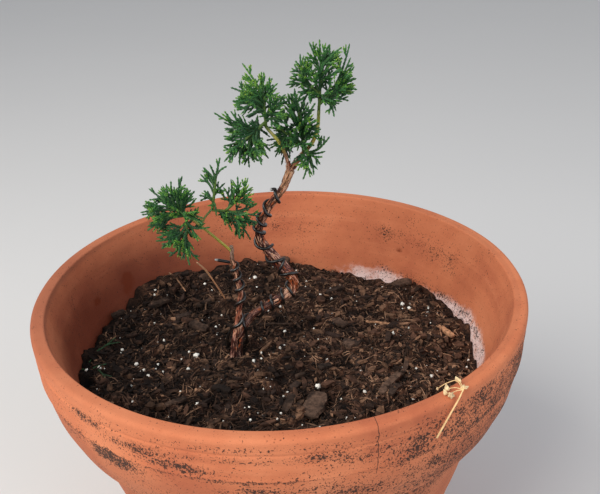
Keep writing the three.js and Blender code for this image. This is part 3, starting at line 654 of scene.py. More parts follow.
# Stems and boughs: a knot is x, y, z and the limb's radius there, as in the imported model

limbKnots = {
    "main": ((-29.0, -2.0, 172.3, 2.7), (-26.6, -1.5, 187.0, 2.0), (-18.6, 0.5, 199.4, 2.1),
             (-5.5, 5.5, 205.4, 2.7), (6.8, 8.0, 212.2, 3.1), (8.6, 9.5, 220.6, 3.3),
             (-0.2, 12.0, 232.0, 3.5), (-9.6, 12.0, 246.4, 2.7), (-10.2, 10.4, 257.5, 2.2),
             (-3.0, 8.2, 272.3, 2.2), (5.0, 6.8, 283.4, 2.1), (10.4, 5.0, 295.9, 2.6)),
    "left": ((-32.2, -4.2, 172.3, 2.5), (-29.9, -6.0, 189.0, 1.6), (-26.7, -7.0, 204.0, 1.6),
             (-24.2, -8.0, 222.0, 1.6), (-25.6, -9.4, 234.5, 1.4), (-27.3, -11.0, 247.0, 1.25),
             (-27.4, -12.0, 256.0, 1.3)),
    "leftTwig": ((-27.4, -11.8, 252.6, 1.05), (-37.7, -17.0, 266.5, 0.95), (-47.4, -23.0, 279.6, 0.85)),
    "sideStalk": ((-43.2, -20.2, 273.8, 0.8), (-41.0, -16.6, 277.6, 0.75), (-36.5, -13.0, 281.4, 0.8)),
    "leftBough": ((9.6, 4.4, 294.0, 1.4), (8.6, 2.4, 303.4, 1.25), (4.6, -0.6, 315.0, 1.15),
                  (-2.7, -3.0, 326.0, 1.05)),
    "rightBough": ((10.6, 5.0, 296.3, 1.9), (16.4, 6.3, 303.0, 1.5), (24.2, 8.4, 311.6, 1.3),
                   (27.6, 9.0, 321.6, 1.15), (28.4, 9.0, 330.5, 1.05)),
    "dryStick": ((-36.2, 60.6, 173.0, 0.7), (-49.0, 55.4, 203.0, 0.75), (-55.6, 52.0, 213.6, 0.5)),
}
# each limb has colours by knot number, thickness as a share of the model's radius, relief of its bark, steps
# round it and the length of a step along it
limbLooks = {
    "main": {"colours": ((0, (88, 55, 50)), (1, (98, 60, 50)), (1.7, (136, 96, 88)), (2.2, (168, 112, 92)),
                         (2.6, (112, 66, 52)), (3.5, (124, 76, 62)), (3.8, (206, 156, 128)),
                         (4.1, (190, 132, 102)), (4.35, (158, 80, 42)), (5.1, (176, 96, 52)),
                         (5.5, (150, 88, 74)), (6.2, (148, 86, 62)), (7, (128, 78, 62)), (8, (156, 102, 80)),
                         (9.5, (196, 142, 108)), (11, (214, 164, 122))),
             "thickness": 1, "relief": 0.7, "sides": 44, "step": 0.4},
    "left": {"colours": ((0, (96, 60, 54)), (0.8, (126, 76, 66)), (1.3, (182, 112, 90)),
                         (2.2, (186, 112, 86)), (2.6, (168, 98, 78)), (3, (184, 120, 92)),
                         (4, (176, 116, 88)), (4.5, (156, 108, 82)), (5.4, (158, 128, 106)),
                         (6, (166, 140, 118))),
             "thickness": 1, "relief": 0.38, "sides": 32, "step": 0.45},
    "leftTwig": {"colours": ((0, (200, 186, 70)), (0.5, (206, 204, 80)), (1.2, (184, 188, 88)),
                             (2, (158, 166, 76))),
                 "thickness": 0.82, "relief": 0.12, "sides": 20, "step": 0.5},
    "sideStalk": {"colours": ((0, (140, 150, 78)), (2, (104, 132, 66))),
                  "thickness": 0.85, "relief": 0.08, "sides": 16, "step": 0.5},
    "leftBough": {"colours": ((0, (196, 146, 120)), (1.3, (192, 142, 110)), (1.7, (206, 194, 84)),
                              (2.4, (212, 212, 92)), (2.8, (140, 160, 64)), (3, (98, 124, 50))),
                  "thickness": 0.86, "relief": 0.12, "sides": 24, "step": 0.45},
    "rightBough": {"colours": ((0, (196, 140, 104)), (0.9, (184, 120, 78)), (1.3, (176, 148, 66)),
                               (2.3, (210, 200, 82)), (3.2, (184, 190, 74)), (4, (112, 140, 54))),
                   "thickness": 0.9, "relief": 0.14, "sides": 26, "step": 0.45},
    "dryStick": {"colours": ((0, (190, 132, 92)), (1, (222, 166, 118)), (2, (222, 176, 136))),
                 "thickness": 0.85, "relief": 0.14, "sides": 16, "step": 0.6},
}
trunkFoot = {"foot": (-30.6, -3.1, 172.3), "way": (1, 0, 9), "below": 0.28, "footRadius": 3.9,
             "topRadius": 1.6, "spread": 1.5, "colour": (84, 52, 46)}
frontWay, upWay = np.array([0.0, -1.0, 0.0]), np.array([0.0, 0.0, 1.0])


def limbSurface(knots, look, start, end, seed):
    # ring radius = thickness · limb radius + relief · (long fibres + peeling plates + lumps), all of them
    # wound slowly round the limb
    rough = splineAt(knots, np.linspace(start, end, 200))[:, :3]
    places = np.linspace(start, end, int(lengthsAlong(rough)[-1] / look["step"]) + 2)
    values = splineAt(knots, places)
    line, radius = values[:, :3], values[:, 3:] * look["thickness"]
    front, side = squareAxes(line, frontWay)
    arc = lengthsAlong(line)[:, None]
    wound = np.arange(look["sides"]) * 2 * np.pi / look["sides"] + arc * 0.02
    long = np.broadcast_to(arc, wound.shape)
    fibres = layeredNoise(roundPoints(wound, long, 2.7, 6.5), seed, 3, 0.6)
    plates = smoothRise(softNoise(roundPoints(wound, long, 1.5, 4.5), seed + 9), 0.0, 0.22)
    lumps = softNoise(roundPoints(wound, long, 0.8, 9), seed + 19)
    rise = 0.6 * fibres + 0.42 * plates - 0.3 + 0.45 * lumps
    knotPlaces, colours = zip(*look["colours"])
    tint = np.stack([np.interp(places, knotPlaces, channel) for channel in screenColour(colours).T], -1)
    grain = roundPoints(wound, long, 3, 7).reshape(-1, 3)
    shades = {"tint": np.vstack([np.repeat(tint, look["sides"], 0), tint[:1], tint[-1:]]),
              "grain": np.vstack([grain, (0, 0, 0), (0, 0, arc[-1, 0] / 7)]),
              "peel": np.concatenate([rise.ravel(), [0, 0]])}
    radii = radius + look["relief"] * rise
    return (*tubesAlong(line[None], front[None], side[None], radii[None]), shades)


def barkMaterial(name, patchy, roughness):
    # the limb's own tint, near black in its fissures as painted shade, and pale on its plates with a painted
    # highlight on the raised bark, with fine fibres along it
    material, shader, _ = newMaterial(name, roughness)
    tint, grain = attributeOf(shader, "tint", "Color"), attributeOf(shader, "grain", "Vector")
    fibre, fleck = noiseOf(grain, 1.9, 6.0, 0.7, 0.5), noiseOf(grain, 7.0, 3.0, 0.6)
    patch, blotch = noiseOf(grain, 0.8, 3.0, 0.6), noiseOf(grain, 1.05, 3.0, 0.6, 0.8)
    deep = mixOf(1.0, tint, (0.12, 0.09, 0.09), "MULTIPLY")
    warm = mixOf(1.0, tint, (1.38, 1.14, 0.92), "MULTIPLY")
    paleAndHighlight = mixOf(0.72, tint, screenColour((246, 200, 176)))
    value = plus(fibre, times(attributeOf(shader, "peel"), 0.2))
    value = plus(value, times(minus(blotch, 0.5), 1.1))
    colour = mixOf(times(stepOf(patch, 0.46, 0.62), 0.7 * patchy), tint, warm)
    # painted shade: near black where the bark lies low in its fissures
    colour = mixOf(times(stepOf(value, 0.49, 0.4), patchy), colour, deep)
    # pale plates, with a painted highlight where the bark stands high
    colour = mixOf(times(stepOf(value, 0.55, 0.66), patchy), colour, paleAndHighlight)
    feed(shader.inputs["Base Color"], colour)
    bumpOf(shader, [(fibre, 0.9, 0.7), (fleck, 0.5, 0.25)])
    return material


def joinParts(parts):
    # each part is points, quads, fans and shades; later parts' corner numbers are moved on
    points, quads, fans, shades = zip(*parts)
    starts = np.cumsum([0, *[len(part) for part in points[:-1]]])
    quads, fans = (np.vstack([part + start for part, start in zip(kind, starts)]) for kind in (quads, fans))
    shades = {title: np.concatenate([part[title] for part in shades]) for title in shades[0]}
    return np.vstack(points), quads, fans, shades


def makeLimbs():
    bark, green = barkMaterial("juniperBark", 0.95, 0.42), barkMaterial("greenBark", 0.35, 0.5)
    dry, young = barkMaterial("dryStraw", 0.4, 0.8), barkMaterial("youngBark", 0.5, 0.5)
    # name, limb, first and last knot, bark, slot, nodes, seed
    pieces = (("mainStemBark", "main", 0.95, 11, bark, "bark", ["main_stem_lower", "main_stem_upper"], 51),
              ("leftStemBark", "left", 0.85, 6, bark, "bark", ["left_stem"], 52),
              ("leftTwigBark", "leftTwig", 0, 2, green, "green_stem", ["left_twig"], 53),
              ("sideStalkBark", "sideStalk", 0, 2, green, "green_stem", ["side_stalk"], 54),
              ("leftBoughBark", "leftBough", 0, 3, young, "bark", ["left_bough"], 55),
              ("rightBoughBark", "rightBough", 0, 4, young, "bark", ["right_bough"], 56),
              ("dryStickBark", "dryStick", -0.06, 2, dry, "straw", ["dry_stick"], 57))
    for name, limb, first, last, material, slotName, nodes, seed in pieces:
        *faces, shades = limbSurface(limbKnots[limb], limbLooks[limb], first, last, seed)
        makePiece(name, *faces, material, slotName, nodes, shades)
    return bark


def makeTrunkFoot(size, bark):
    # the two stems' lowest stretches and a flare whose radius goes from foot to top by the root of its height
    stems = [limbSurface(limbKnots[limb], limbLooks[limb], -0.12, last, seed)
             for limb, last, seed in (("main", 1.05, 61), ("left", 0.95, 62))]
    share = np.linspace(-size["below"], 1, 26)[:, None]
    radius = size["footRadius"] + (size["topRadius"] - size["footRadius"]) * np.sqrt(np.clip(share, 0, 1))
    radius += size["spread"] * np.clip(-share, 0, 1)
    knots = np.hstack([np.array(size["foot"]) + np.array(size["way"]) * share, radius])
    flare = limbSurface(knots, dict(limbLooks["main"], sides=48, relief=0.5), 0, len(knots) - 1, 63)
    flare[3]["tint"][:] = screenColour(size["colour"])
    *faces, shades = joinParts([*stems, flare])
    makePiece("trunkFoot", *faces, bark, "bark", ["trunk_base"], shades)


makeTrunkFoot(trunkFoot, makeLimbs())

# Loose flakes of bark

flakeLook = {
    # limb, first and last knot, number of flakes
    "limbs": (("main", 0.3, 10.6, 230), ("left", 0.3, 5.6, 80), ("leftBough", 0.1, 1.4, 10),
              ("rightBough", 0.1, 1.8, 16)),
    "length": (1.8, 6.0), "width": (0.25, 0.8), "thickness": 0.12, "lift": (0.19, 1.34),
    "rings": 6, "sides": 4, "steps": 400,
    "tones": {"Rust": (168, 84, 44), "Tan": (222, 168, 136), "Maroon": (84, 42, 36)},
}


def limbFrame(knots, places):
    # the limb's values at the places, its way there by differences, and the front made square to that way
    tangent = unit(splineAt(knots, places + 0.02)[..., :3] - splineAt(knots, places - 0.02)[..., :3])
    return splineAt(knots, places), tangent, squareTo(frontWay, tangent)


def makeFlakes(look):
    # a flake follows its limb's surface, wound a little round it, and its far end lifts by lift · share³
    random = np.random.default_rng(71)
    parts = {tone: [] for tone in look["tones"]}
    share = np.linspace(0, 1, look["rings"])
    for limb, first, last, count in look["limbs"]:
        places, number = np.linspace(first, last, look["steps"]), count // len(parts)
        arc = lengthsAlong(splineAt(limbKnots[limb], places)[:, :3])
        for tone in parts:
            length = drawSizes(look["length"], 1.5, number, random)
            where = random.uniform(0, 1, number) * (arc[-1] - length)
            flip = random.random((number, 1)) < 0.5
            along = where[:, None] + length[:, None] * np.where(flip, 1 - share, share)
            values, tangent, front = limbFrame(limbKnots[limb], np.interp(along, arc, places))
            spin = random.uniform(0, 2 * np.pi, (number, 1)) + random.normal(0, 0.35, (number, 1)) * share
            outward = front * np.cos(spin)[..., None] + np.cross(tangent, front) * np.sin(spin)[..., None]
            low, high = look["lift"]
            lift = low + (high - low) * random.uniform(0, 1, (number, 1)) ** 2.2 * share**3
            line = values[..., :3] + outward * (values[..., 3:] + lift[..., None])
            wide = random.uniform(*look["width"], (number, 1, 1))
            uneven = random.uniform(0.8, 1.15, (number, look["rings"], look["sides"]))
            radii = (1 - 0.7 * share**4)[None, :, None] * uneven
            flakes = tubesAlong(line, np.cross(tangent, outward) * wide, outward * look["thickness"], radii)
            parts[tone].append((*flakes, {}))
    for tone, colour in look["tones"].items():
        material, shader, place = newMaterial("flake" + tone, 0.6, 0.4)
        base = screenColour(colour)
        feed(shader.inputs["Base Color"], mixOf(noiseOf(place, 500.0), base * 0.6, base * 1.35))
        makePiece("barkFlakes" + tone, *joinParts(parts[tone])[:3], material, "bark", smooth=False)


makeFlakes(flakeLook)
print("stems and boughs covered in bark")

# Training wire: turns are places on the limb's knots and the turns made so far; a whole turn is at the front

windings = {
    "mainWire": {
        "limb": "main", "hand": 1, "slack": 0.6, "node": "main_wire",
        "turns": ((1.48, 0), (2.49, 1), (2.97, 2), (3.51, 3), (4.02, 4), (5.4, 5), (5.6, 5.2), (5.95, 4.8),
                  (6.15, 5), (6.77, 6), (7.85, 7), (8.26, 8), (8.74, 9), (9.56, 10), (9.8, 10.25)),
        "foot": (-23.4, 5.0, 172.3), "rise": (-22.8, -1.0, 184), "tail": (-2.4, 4.6, 284.2),
    },
    "leftWire": {
        "limb": "left", "hand": -1, "slack": 0.35, "node": "left_wire",
        "turns": ((1.4, -0.25), (1.67, 0), (2.67, 1), (3.26, 2), (3.9, 3), (4.46, 4), (4.7, 4.6)),
        "foot": (-35.2, 3.0, 172.3), "rise": (-35.3, -0.8, 184), "tail": (-38.0, -9.5, 246.4),
    },
}
# radius is the model's, and thickness is the radius that is drawn
wireLook = {
    "radius": 0.75, "thickness": 0.98, "stepsPerTurn": 11, "stepsPerPoint": 5, "sides": 14, "buried": 3.0,
    "endLength": 0.25, "cutLength": 0.3, "colour": (17, 16, 15), "worn": (40, 38, 36), "dust": (92, 74, 60),
    "cut": (214, 216, 214),
}


def windingPoints(winding):
    # limb point + reach · (front cos 2πt + side sin 2πt), where reach = limb radius + slack + wire radius
    turns = winding["turns"]
    steps = [turns[:1]]
    for before, after in zip(turns, turns[1:]):
        count = int(np.ceil(abs(after[1] - before[1]) * wireLook["stepsPerTurn"]))
        steps.append(np.linspace(before, after, count + 1)[1:])
    places, turned = np.vstack(steps).T
    values, tangent, front = limbFrame(limbKnots[winding["limb"]], places)
    side, angle = np.cross(front, tangent) * winding["hand"], 2 * np.pi * turned[:, None]
    reach = values[:, 3:] + winding["slack"] + wireLook["radius"]
    wound = values[:, :3] + reach * (front * np.cos(angle) + side * np.sin(angle))
    return np.vstack([winding["foot"], winding["rise"], wound, winding["tail"]])


def wireMaterial(look):
    # dark coated wire, scuffed and dusty, with bare metal where it was cut
    material, shader, place = newMaterial("darkWire", 0.38)
    shader.inputs["Coat Weight"].default_value = 0.55
    shader.inputs["Coat Roughness"].default_value = 0.1
    scuff, dust = noiseOf(place, 900.0, 4.0, 0.6), noiseOf(place, 130.0, 4.0, 0.6)
    colour = mixOf(stepOf(scuff, 0.55, 0.7), screenColour(look["colour"]), screenColour(look["worn"]))
    colour = mixOf(times(stepOf(dust, 0.56, 0.8), 0.25), colour, screenColour(look["dust"]))
    feed(shader.inputs["Base Color"], mixOf(attributeOf(shader, "cut"), colour, screenColour(look["cut"])))
    bumpOf(shader, [(scuff, 0.3, 0.08)])
    return material


def makeWires(look):
    # a round tube along the winding, whose free end is drawn in by √(1 - 0.75 t²), and whose foot goes on
    # down into the soil; each ring's axis is the last one's, made square to the line
    material = wireMaterial(look)
    for name, winding in windings.items():
        points = windingPoints(winding)
        line = throughPoints(np.vstack([points[0] - (0, 0, look["buried"]), points]), look["stepsPerPoint"])
        left = lengthsAlong(line)
        left = (left[-1] - left)[:, None]
        radii = look["thickness"] * np.sqrt(1 - np.clip(1 - left / look["endLength"], 0, 1) ** 2 * 0.75)
        tangent = unit(np.gradient(line, axis=0))
        across = [unit(np.cross(tangent[0], [0.3, 1.0, 0.2]))]
        for way in tangent[1:]:
            across.append(squareTo(across[-1], way))
        upward = np.cross(tangent, across)
        radii = np.repeat(radii, look["sides"], 1)[None]
        tube = tubesAlong(line[None], np.array(across)[None], upward[None], radii)
        cut = np.repeat(left < look["cutLength"], look["sides"])
        makePiece(name, *tube, material, "wire", [winding["node"]], {"cut": np.append(cut, [0, 1])})


makeWires(wireLook)
print("wires wound")

# Foliage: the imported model's shoots and twigs grown again by its own rule, then finer sprays and scale leaves

massSizes = {
    "foliage_upper_left": {
        "seed": 11, "centre": (-7.6, -4, 329.5), "depth": 21, "fill": 16,
        "arms": (((-2.7, -3, 326), (-3.4, -5, 345)), ((-2.8, -3.4, 329), (-19, -7, 317))),
        "fan": ((27, 20), (45, 23), (61, 25), (79, 28), (100, 33), (114, 21), (129, 19), (162, 24), (177, 18),
                (-168, 18), (-155, 21), (-142, 25), (-134, 28), (-116, 26), (-103, 27), (-92, 24), (-78, 24)),
        "gaps": ((-22, -6, 330), (-17, -10, 333), (-13, -8, 334.5), (-9, -9, 337), (-12, -6, 330),
                 (-8, -10, 328)),
    },
    "foliage_crown": {
        "seed": 23, "centre": (30.6, 9, 346), "depth": 20, "fill": 18,
        "arms": (((28.4, 9, 330.5), (30.4, 8.4, 357)), ((28.7, 9, 334), (39, 10, 343)),
                 ((29.3, 9, 339), (21, 8, 348))),
        "fan": ((-60, 15), (-38, 19), (-24, 20), (-8, 19), (8, 19), (25, 20), (38, 21), (51, 26), (64, 24),
                (80, 23), (92, 25), (105, 24), (126, 20), (146, 18), (162, 19), (176, 20), (-164, 14)),
        "gaps": ((38, 7, 331), (33, 4, 336), (24, 7, 337)),
    },
    "foliage_middle": {
        "seed": 37, "centre": (15.5, 3, 324), "depth": 17, "fill": 20,
        "arms": (((18.4, 6.2, 306.2), (17.6, 3, 320)), ((17.6, 3, 320), (15.6, 3, 336)),
                 ((18.0, 5, 311), (5, 5, 322)), ((18.2, 4.6, 309.5), (25, -1, 305))),
        "fan": ((-172, 17, 6), (-152, 20, 4), (-138, 22, 5), (-124, 24, 5), (-112, 27, 5), (-99, 22, -3),
                (-86, 31, -5), (-74, 30, -4), (-62, 25, -5), (-46, 21, -5), (-22, 19, -4), (12, 12, -6),
                (60, 13), (78, 18, -1), (93, 20), (108, 19), (122, 15), (146, 15, 5), (166, 14, 7)),
        "gaps": ((13, 0, 327.5), (9, 2, 328), (10, -2, 324), (14, -3, 321), (24, 3, 329), (25, 2, 333)),
    },
    "foliage_low_left": {
        "seed": 41, "centre": (-56, -25, 284), "depth": 20, "fill": 14,
        "arms": (((-47.4, -23, 279.6), (-57.5, -26, 289.5)), ((-50.6, -24, 282.8), (-52.5, -27, 264))),
        "fan": ((-175, 20), (-160, 17), (-140, 15), (-116, 23), (-104, 28), (-88, 27), (-80, 29), (-70, 29),
                (-56, 18), (-17, 19, -7), (2, 15, -7), (46, 15), (60, 19), (78, 22), (93, 20), (103, 18),
                (134, 20), (150, 19), (166, 19)),
    },
    "foliage_low_upright": {
        "seed": 53, "centre": (-34.6, -13, 294), "depth": 9, "fill": 3,
        "arms": (((-36.5, -13, 281.4), (-32.4, -13, 303)),),
        "fan": ((-152, 9), (-136, 11), (13, 6), (60, 16), (75, 19), (93, 14), (110, 13), (130, 10)),
    },
    "foliage_low_right": {
        "seed": 67, "centre": (-22, -11, 278.6), "depth": 15, "fill": 7,
        "arms": (((-36.5, -13, 280.6), (-20, -11, 277)), ((-29, -12.4, 279.4), (-20, -12, 287))),
        "fan": ((-128, 10), (-112, 12), (-90, 16), (-71, 19), (-48, 14), (-24, 13), (8, 11), (36, 12),
                (60, 17), (70, 21), (86, 20), (98, 18)),
    },
}
growth = {
    "shootRadius": 0.95, "shootBend": 0.45, "shootStart": 0.8, "shootCost": (1.3, 3), "twigRadius": 0.85,
    "armRadius": 0.95, "firstRoot": 0.2, "rootSpacing": 0.075, "firstTwig": 0.3, "twigSpacing": 4.9,
    "twigAngle": (33, 46), "twigTwist": 22, "twigLength": (2.6, 0.55, 9), "twigSpread": (0.8, 1.2),
    "fanDepth": (-0.35, 0.35), "fanLean": (-0.5, 0.5), "fillDepth": (0.45, 0.97), "fillReach": (0.8, 1),
    "fillTurn": 2.4, "spaceLimit": 1.2, "limbGap": 0.6, "twigGap": -0.5,
    "lastTwig": 0.93, "lastExtraTwig": 0.95, "extraInside": 1.0, "extraCloser": 0.4,
}


def numbersFrom(seed):
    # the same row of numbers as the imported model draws: each is 48271 times the last, modulo 2147483647
    state = seed * 7919 + 17

    def between(low, high):
        nonlocal state
        state = state * 48271 % 2147483647
        share = state / 2147483647
        return (1 - share) * low + share * high
    return between


def bendPoint(start, bend, tip, share):
    # (1 - t)² start + 2t (1 - t) bend + t² tip
    return (1 - share) ** 2 * start + 2 * share * (1 - share) * bend + share**2 * tip


def isClear(start, end, radius, stretches, gap):
    # four points of a new stretch are each far enough from every other stretch's nearest point
    if not len(stretches):
        return True
    points = start + (end - start) * np.array([0.4, 0.6, 0.8, 1.0])[:, None]
    origin, way, width = stretches[:, :3], stretches[:, 3:6] - stretches[:, :3], stretches[:, 6]
    away = points[:, None] - origin
    share = np.clip(np.sum(away * way, -1) / np.maximum(np.sum(way * way, -1), 1e-9), 0, 1)
    distance = np.linalg.norm(away - way * share[..., None], axis=-1)
    return bool(np.all(distance > width + radius + gap))


def limbStretches():
    # limbs in quarters of a knot, and wires from point to point
    rows = []
    for knots in limbKnots.values():
        places = splineAt(knots, np.arange((len(knots) - 1) * 4 + 1) / 4)
        width = np.maximum(places[:-1, 3], places[1:, 3])
        rows.append(np.column_stack([places[:-1, :3], places[1:, :3], width]))
    for winding in windings.values():
        points = windingPoints(winding)
        rows.append(np.column_stack([points[:-1], points[1:], np.full(len(points) - 1, wireLook["radius"])]))
    return np.vstack(rows)


def overOutline(points, centre, outline):
    # how far points stand out past the mass's outline, whose reach by angle runs straight from tip to tip
    x, z = points[..., 0] - centre[0], points[..., 2] - centre[2]
    return np.hypot(x, z) - np.interp(np.arctan2(z, x), *outline, period=2 * np.pi)


def growMass(mass, others):
    # shoots leave the arms for their tips, and twigs leave the shoots by turns left and right
    rule = growth
    centre = np.array(mass["centre"], float)
    arms = [(np.array(foot, float), np.array(tip, float), {}) for foot, tip in mass["arms"]]
    angles = np.radians([row[0] for row in mass["fan"]])
    reaches = np.array([row[1] for row in mass["fan"]], float)
    fanX, fanZ = reaches * np.cos(angles), reaches * np.sin(angles)
    space = np.array([np.abs(fanX).max(), mass["depth"], np.abs(fanZ).max()])
    order = np.argsort(angles)
    outline = (angles[order], reaches[order])
    own = [(*foot, *tip, rule["armRadius"], 0) for foot, tip, _ in arms]
    shoots, twigs = [], []

    def growTwig(start, end, number, shoot, share, lean, extra=False):
        owned = np.array(own)
        neighbours = owned[owned[:, 7] != number]
        radius = rule["twigRadius"]
        if np.linalg.norm((end - centre) / space) >= rule["spaceLimit"]:
            return
        if extra and overOutline(end, centre, outline) > -rule["extraInside"]:
            return
        if not isClear(start, end, radius, others, rule["limbGap"]):
            return
        if not isClear(start, end, radius, neighbours, rule["twigGap"] - rule["extraCloser"] * extra):
            return
        if not extra:
            own.append((*start, *end, radius, number))
        twigs.append((start, end, lean, shoot, share))

    def sideTwig(root, bend, tip, lean, number, shoot, share, turn, between, extra):
        length = np.linalg.norm(tip - root)
        least, restShare, most = rule["twigLength"]
        angle = np.radians(between(*rule["twigAngle"]))
        size = (least + length * (1 - share) * restShare) * between(*rule["twigSpread"])
        twist = np.radians(between(-rule["twigTwist"], rule["twigTwist"]))
        reach = min(most, size)
        along = unit(bendPoint(root, bend, tip, share + 0.03) - bendPoint(root, bend, tip, share - 0.03))
        flat = squareTo(lean, along)
        flat = flat * np.cos(twist) + np.cross(along, flat) * np.sin(twist)
        start = bendPoint(root, bend, tip, share)
        side = np.cross(flat, along) * turn
        end = start + along * reach * np.cos(angle) + side * reach * np.sin(angle)
        growTwig(start, end, number, shoot, share, flat, extra)

    def growShoot(arm, root, tip, lean, number, between):
        way = tip - root
        length = np.linalg.norm(way)
        bend = root + unit(way / length + arm * rule["shootStart"]) * length * rule["shootBend"]
        halfway = bendPoint(root, bend, tip, 0.5)
        radius = rule["shootRadius"]
        if not (isClear(root, halfway, radius, others, rule["limbGap"])
                and isClear(halfway, tip, radius, others, rule["limbGap"])):
            return
        own.append((*root, *halfway, radius, number))
        own.append((*halfway, *tip, radius, number))
        shoots.append((root, bend, tip, lean))
        shoot, turn, share = len(shoots) - 1, 1, rule["firstTwig"]
        while share < rule["lastTwig"]:
            sideTwig(root, bend, tip, lean, number, shoot, share, turn, between, False)
            turn = -turn
            share += rule["twigSpacing"] / length

    def growTo(tip, lean, number, between):
        distanceCost, crowdCost = rule["shootCost"]
        best = None
        for foot, end, taken in arms:
            along = unit(end - foot)
            step = 0
            while rule["firstRoot"] + step * rule["rootSpacing"] < 1:
                root = foot + (end - foot) * (rule["firstRoot"] + step * rule["rootSpacing"])
                way = tip - root
                cost = np.linalg.norm(way) * distanceCost - way @ along + crowdCost * taken.get(step, 0)
                if best is None or cost < best[0]:
                    best = (cost, root, along, taken, step)
                step += 1
        _, root, along, taken, step = best
        taken[step] = taken.get(step, 0) + 1
        growShoot(along, root, tip, lean, number, between)

    for index, row in enumerate(mass["fan"]):
        between = numbersFrom(mass["seed"] * 100 + index + 1)
        anyDepth = between(*rule["fanDepth"]) * mass["depth"]
        depth = row[2] if len(row) > 2 else anyDepth
        lean = unit(np.array([between(*rule["fanLean"]), 1.0, between(*rule["fanLean"])]))
        growTo(centre + (fanX[index], depth, fanZ[index]), lean, index + 1, between)
    for index in range(mass["fill"]):
        number = len(mass["fan"]) + index + 1
        between = numbersFrom(mass["seed"] * 100 + number)
        around = rule["fillTurn"] * index
        towards = (-1 if index % 2 == 0 else 1) * between(*rule["fillDepth"])
        spread = np.sqrt(1 - towards * towards) * between(*rule["fillReach"])
        way = np.array([spread * np.cos(around), towards, spread * np.sin(around)])
        lean = unit(np.array([between(-1, 1), between(-1, 1), between(-1, 1)]))
        growTo(centre + way * space, lean, number, between)
    stretches = np.array(own)[:, :7]

    # shoots of the scene alone fill a gap between the model's
    for index, tip in enumerate(mass.get("gaps", ())):
        between = numbersFrom(mass["seed"] * 100 + 50 + index)
        lean = unit(np.array([between(*rule["fanLean"]), 1.0, between(*rule["fanLean"])]))
        growTo(np.array(tip, float), lean, 200 + index, between)

    # more twigs between the model's own, by turns on the other side, in rows of their own numbers
    for shoot, (root, bend, tip, lean) in enumerate(list(shoots)):
        between = numbersFrom(mass["seed"] * 100 + 60 + shoot)
        step = rule["twigSpacing"] / np.linalg.norm(tip - root)
        share, turn = rule["firstTwig"] - step * 0.5, 1
        while share < rule["lastExtraTwig"]:
            skew = unit(lean + np.cross(unit(tip - root), lean) * between(-0.9, 0.9))
            if between(0, 1) > sprayLook["leftOut"]:
                sideTwig(root, bend, tip, skew, -1 - shoot, shoot, share + step * 0.5, turn, between, True)
            turn = -turn
            share += step * 0.5
    grown = {"centre": centre, "space": space, "outline": outline, "shoots": shoots, "twigs": twigs}
    return grown, stretches


sprayLook = {
    "firstCordlet": 1.6, "cordletSpacing": 3.1, "cordletAngle": (24, 37), "cordletLength": (2.3, 0.5, 6.0),
    "lastCordlet": 2.2, "leastRest": 2.6, "twigRest": (0.78, 1.0), "lead": 0.1,
    "leafSpacing": 1.1, "leafLength": 1.6, "leafWidth": 0.42, "leafLift": 0.06,
    # foot and tip radius, rings and sides of the cords of shoots, twigs and cordlets
    "cords": (((0.66, 0.44), 9, 5), ((0.6, 0.34), 5, 5), ((0.54, 0.24), 4, 4)),
    "toneLimits": (0.44, 0.74, 1.02), "tipTone": 0.58, "overReach": 0.1,
    # leaf tones: the lighter ones stand partly for young tips and partly for painted light, the darker ones
    # partly for painted shade
    "dark": (34, 68, 44), "middle": (64, 120, 54), "bright": (118, 170, 60), "young": (168, 202, 72),
    "arm": (84, 112, 48), "stem": (64, 102, 50), "cord": (48, 94, 50), "leftOut": 0.3,
}


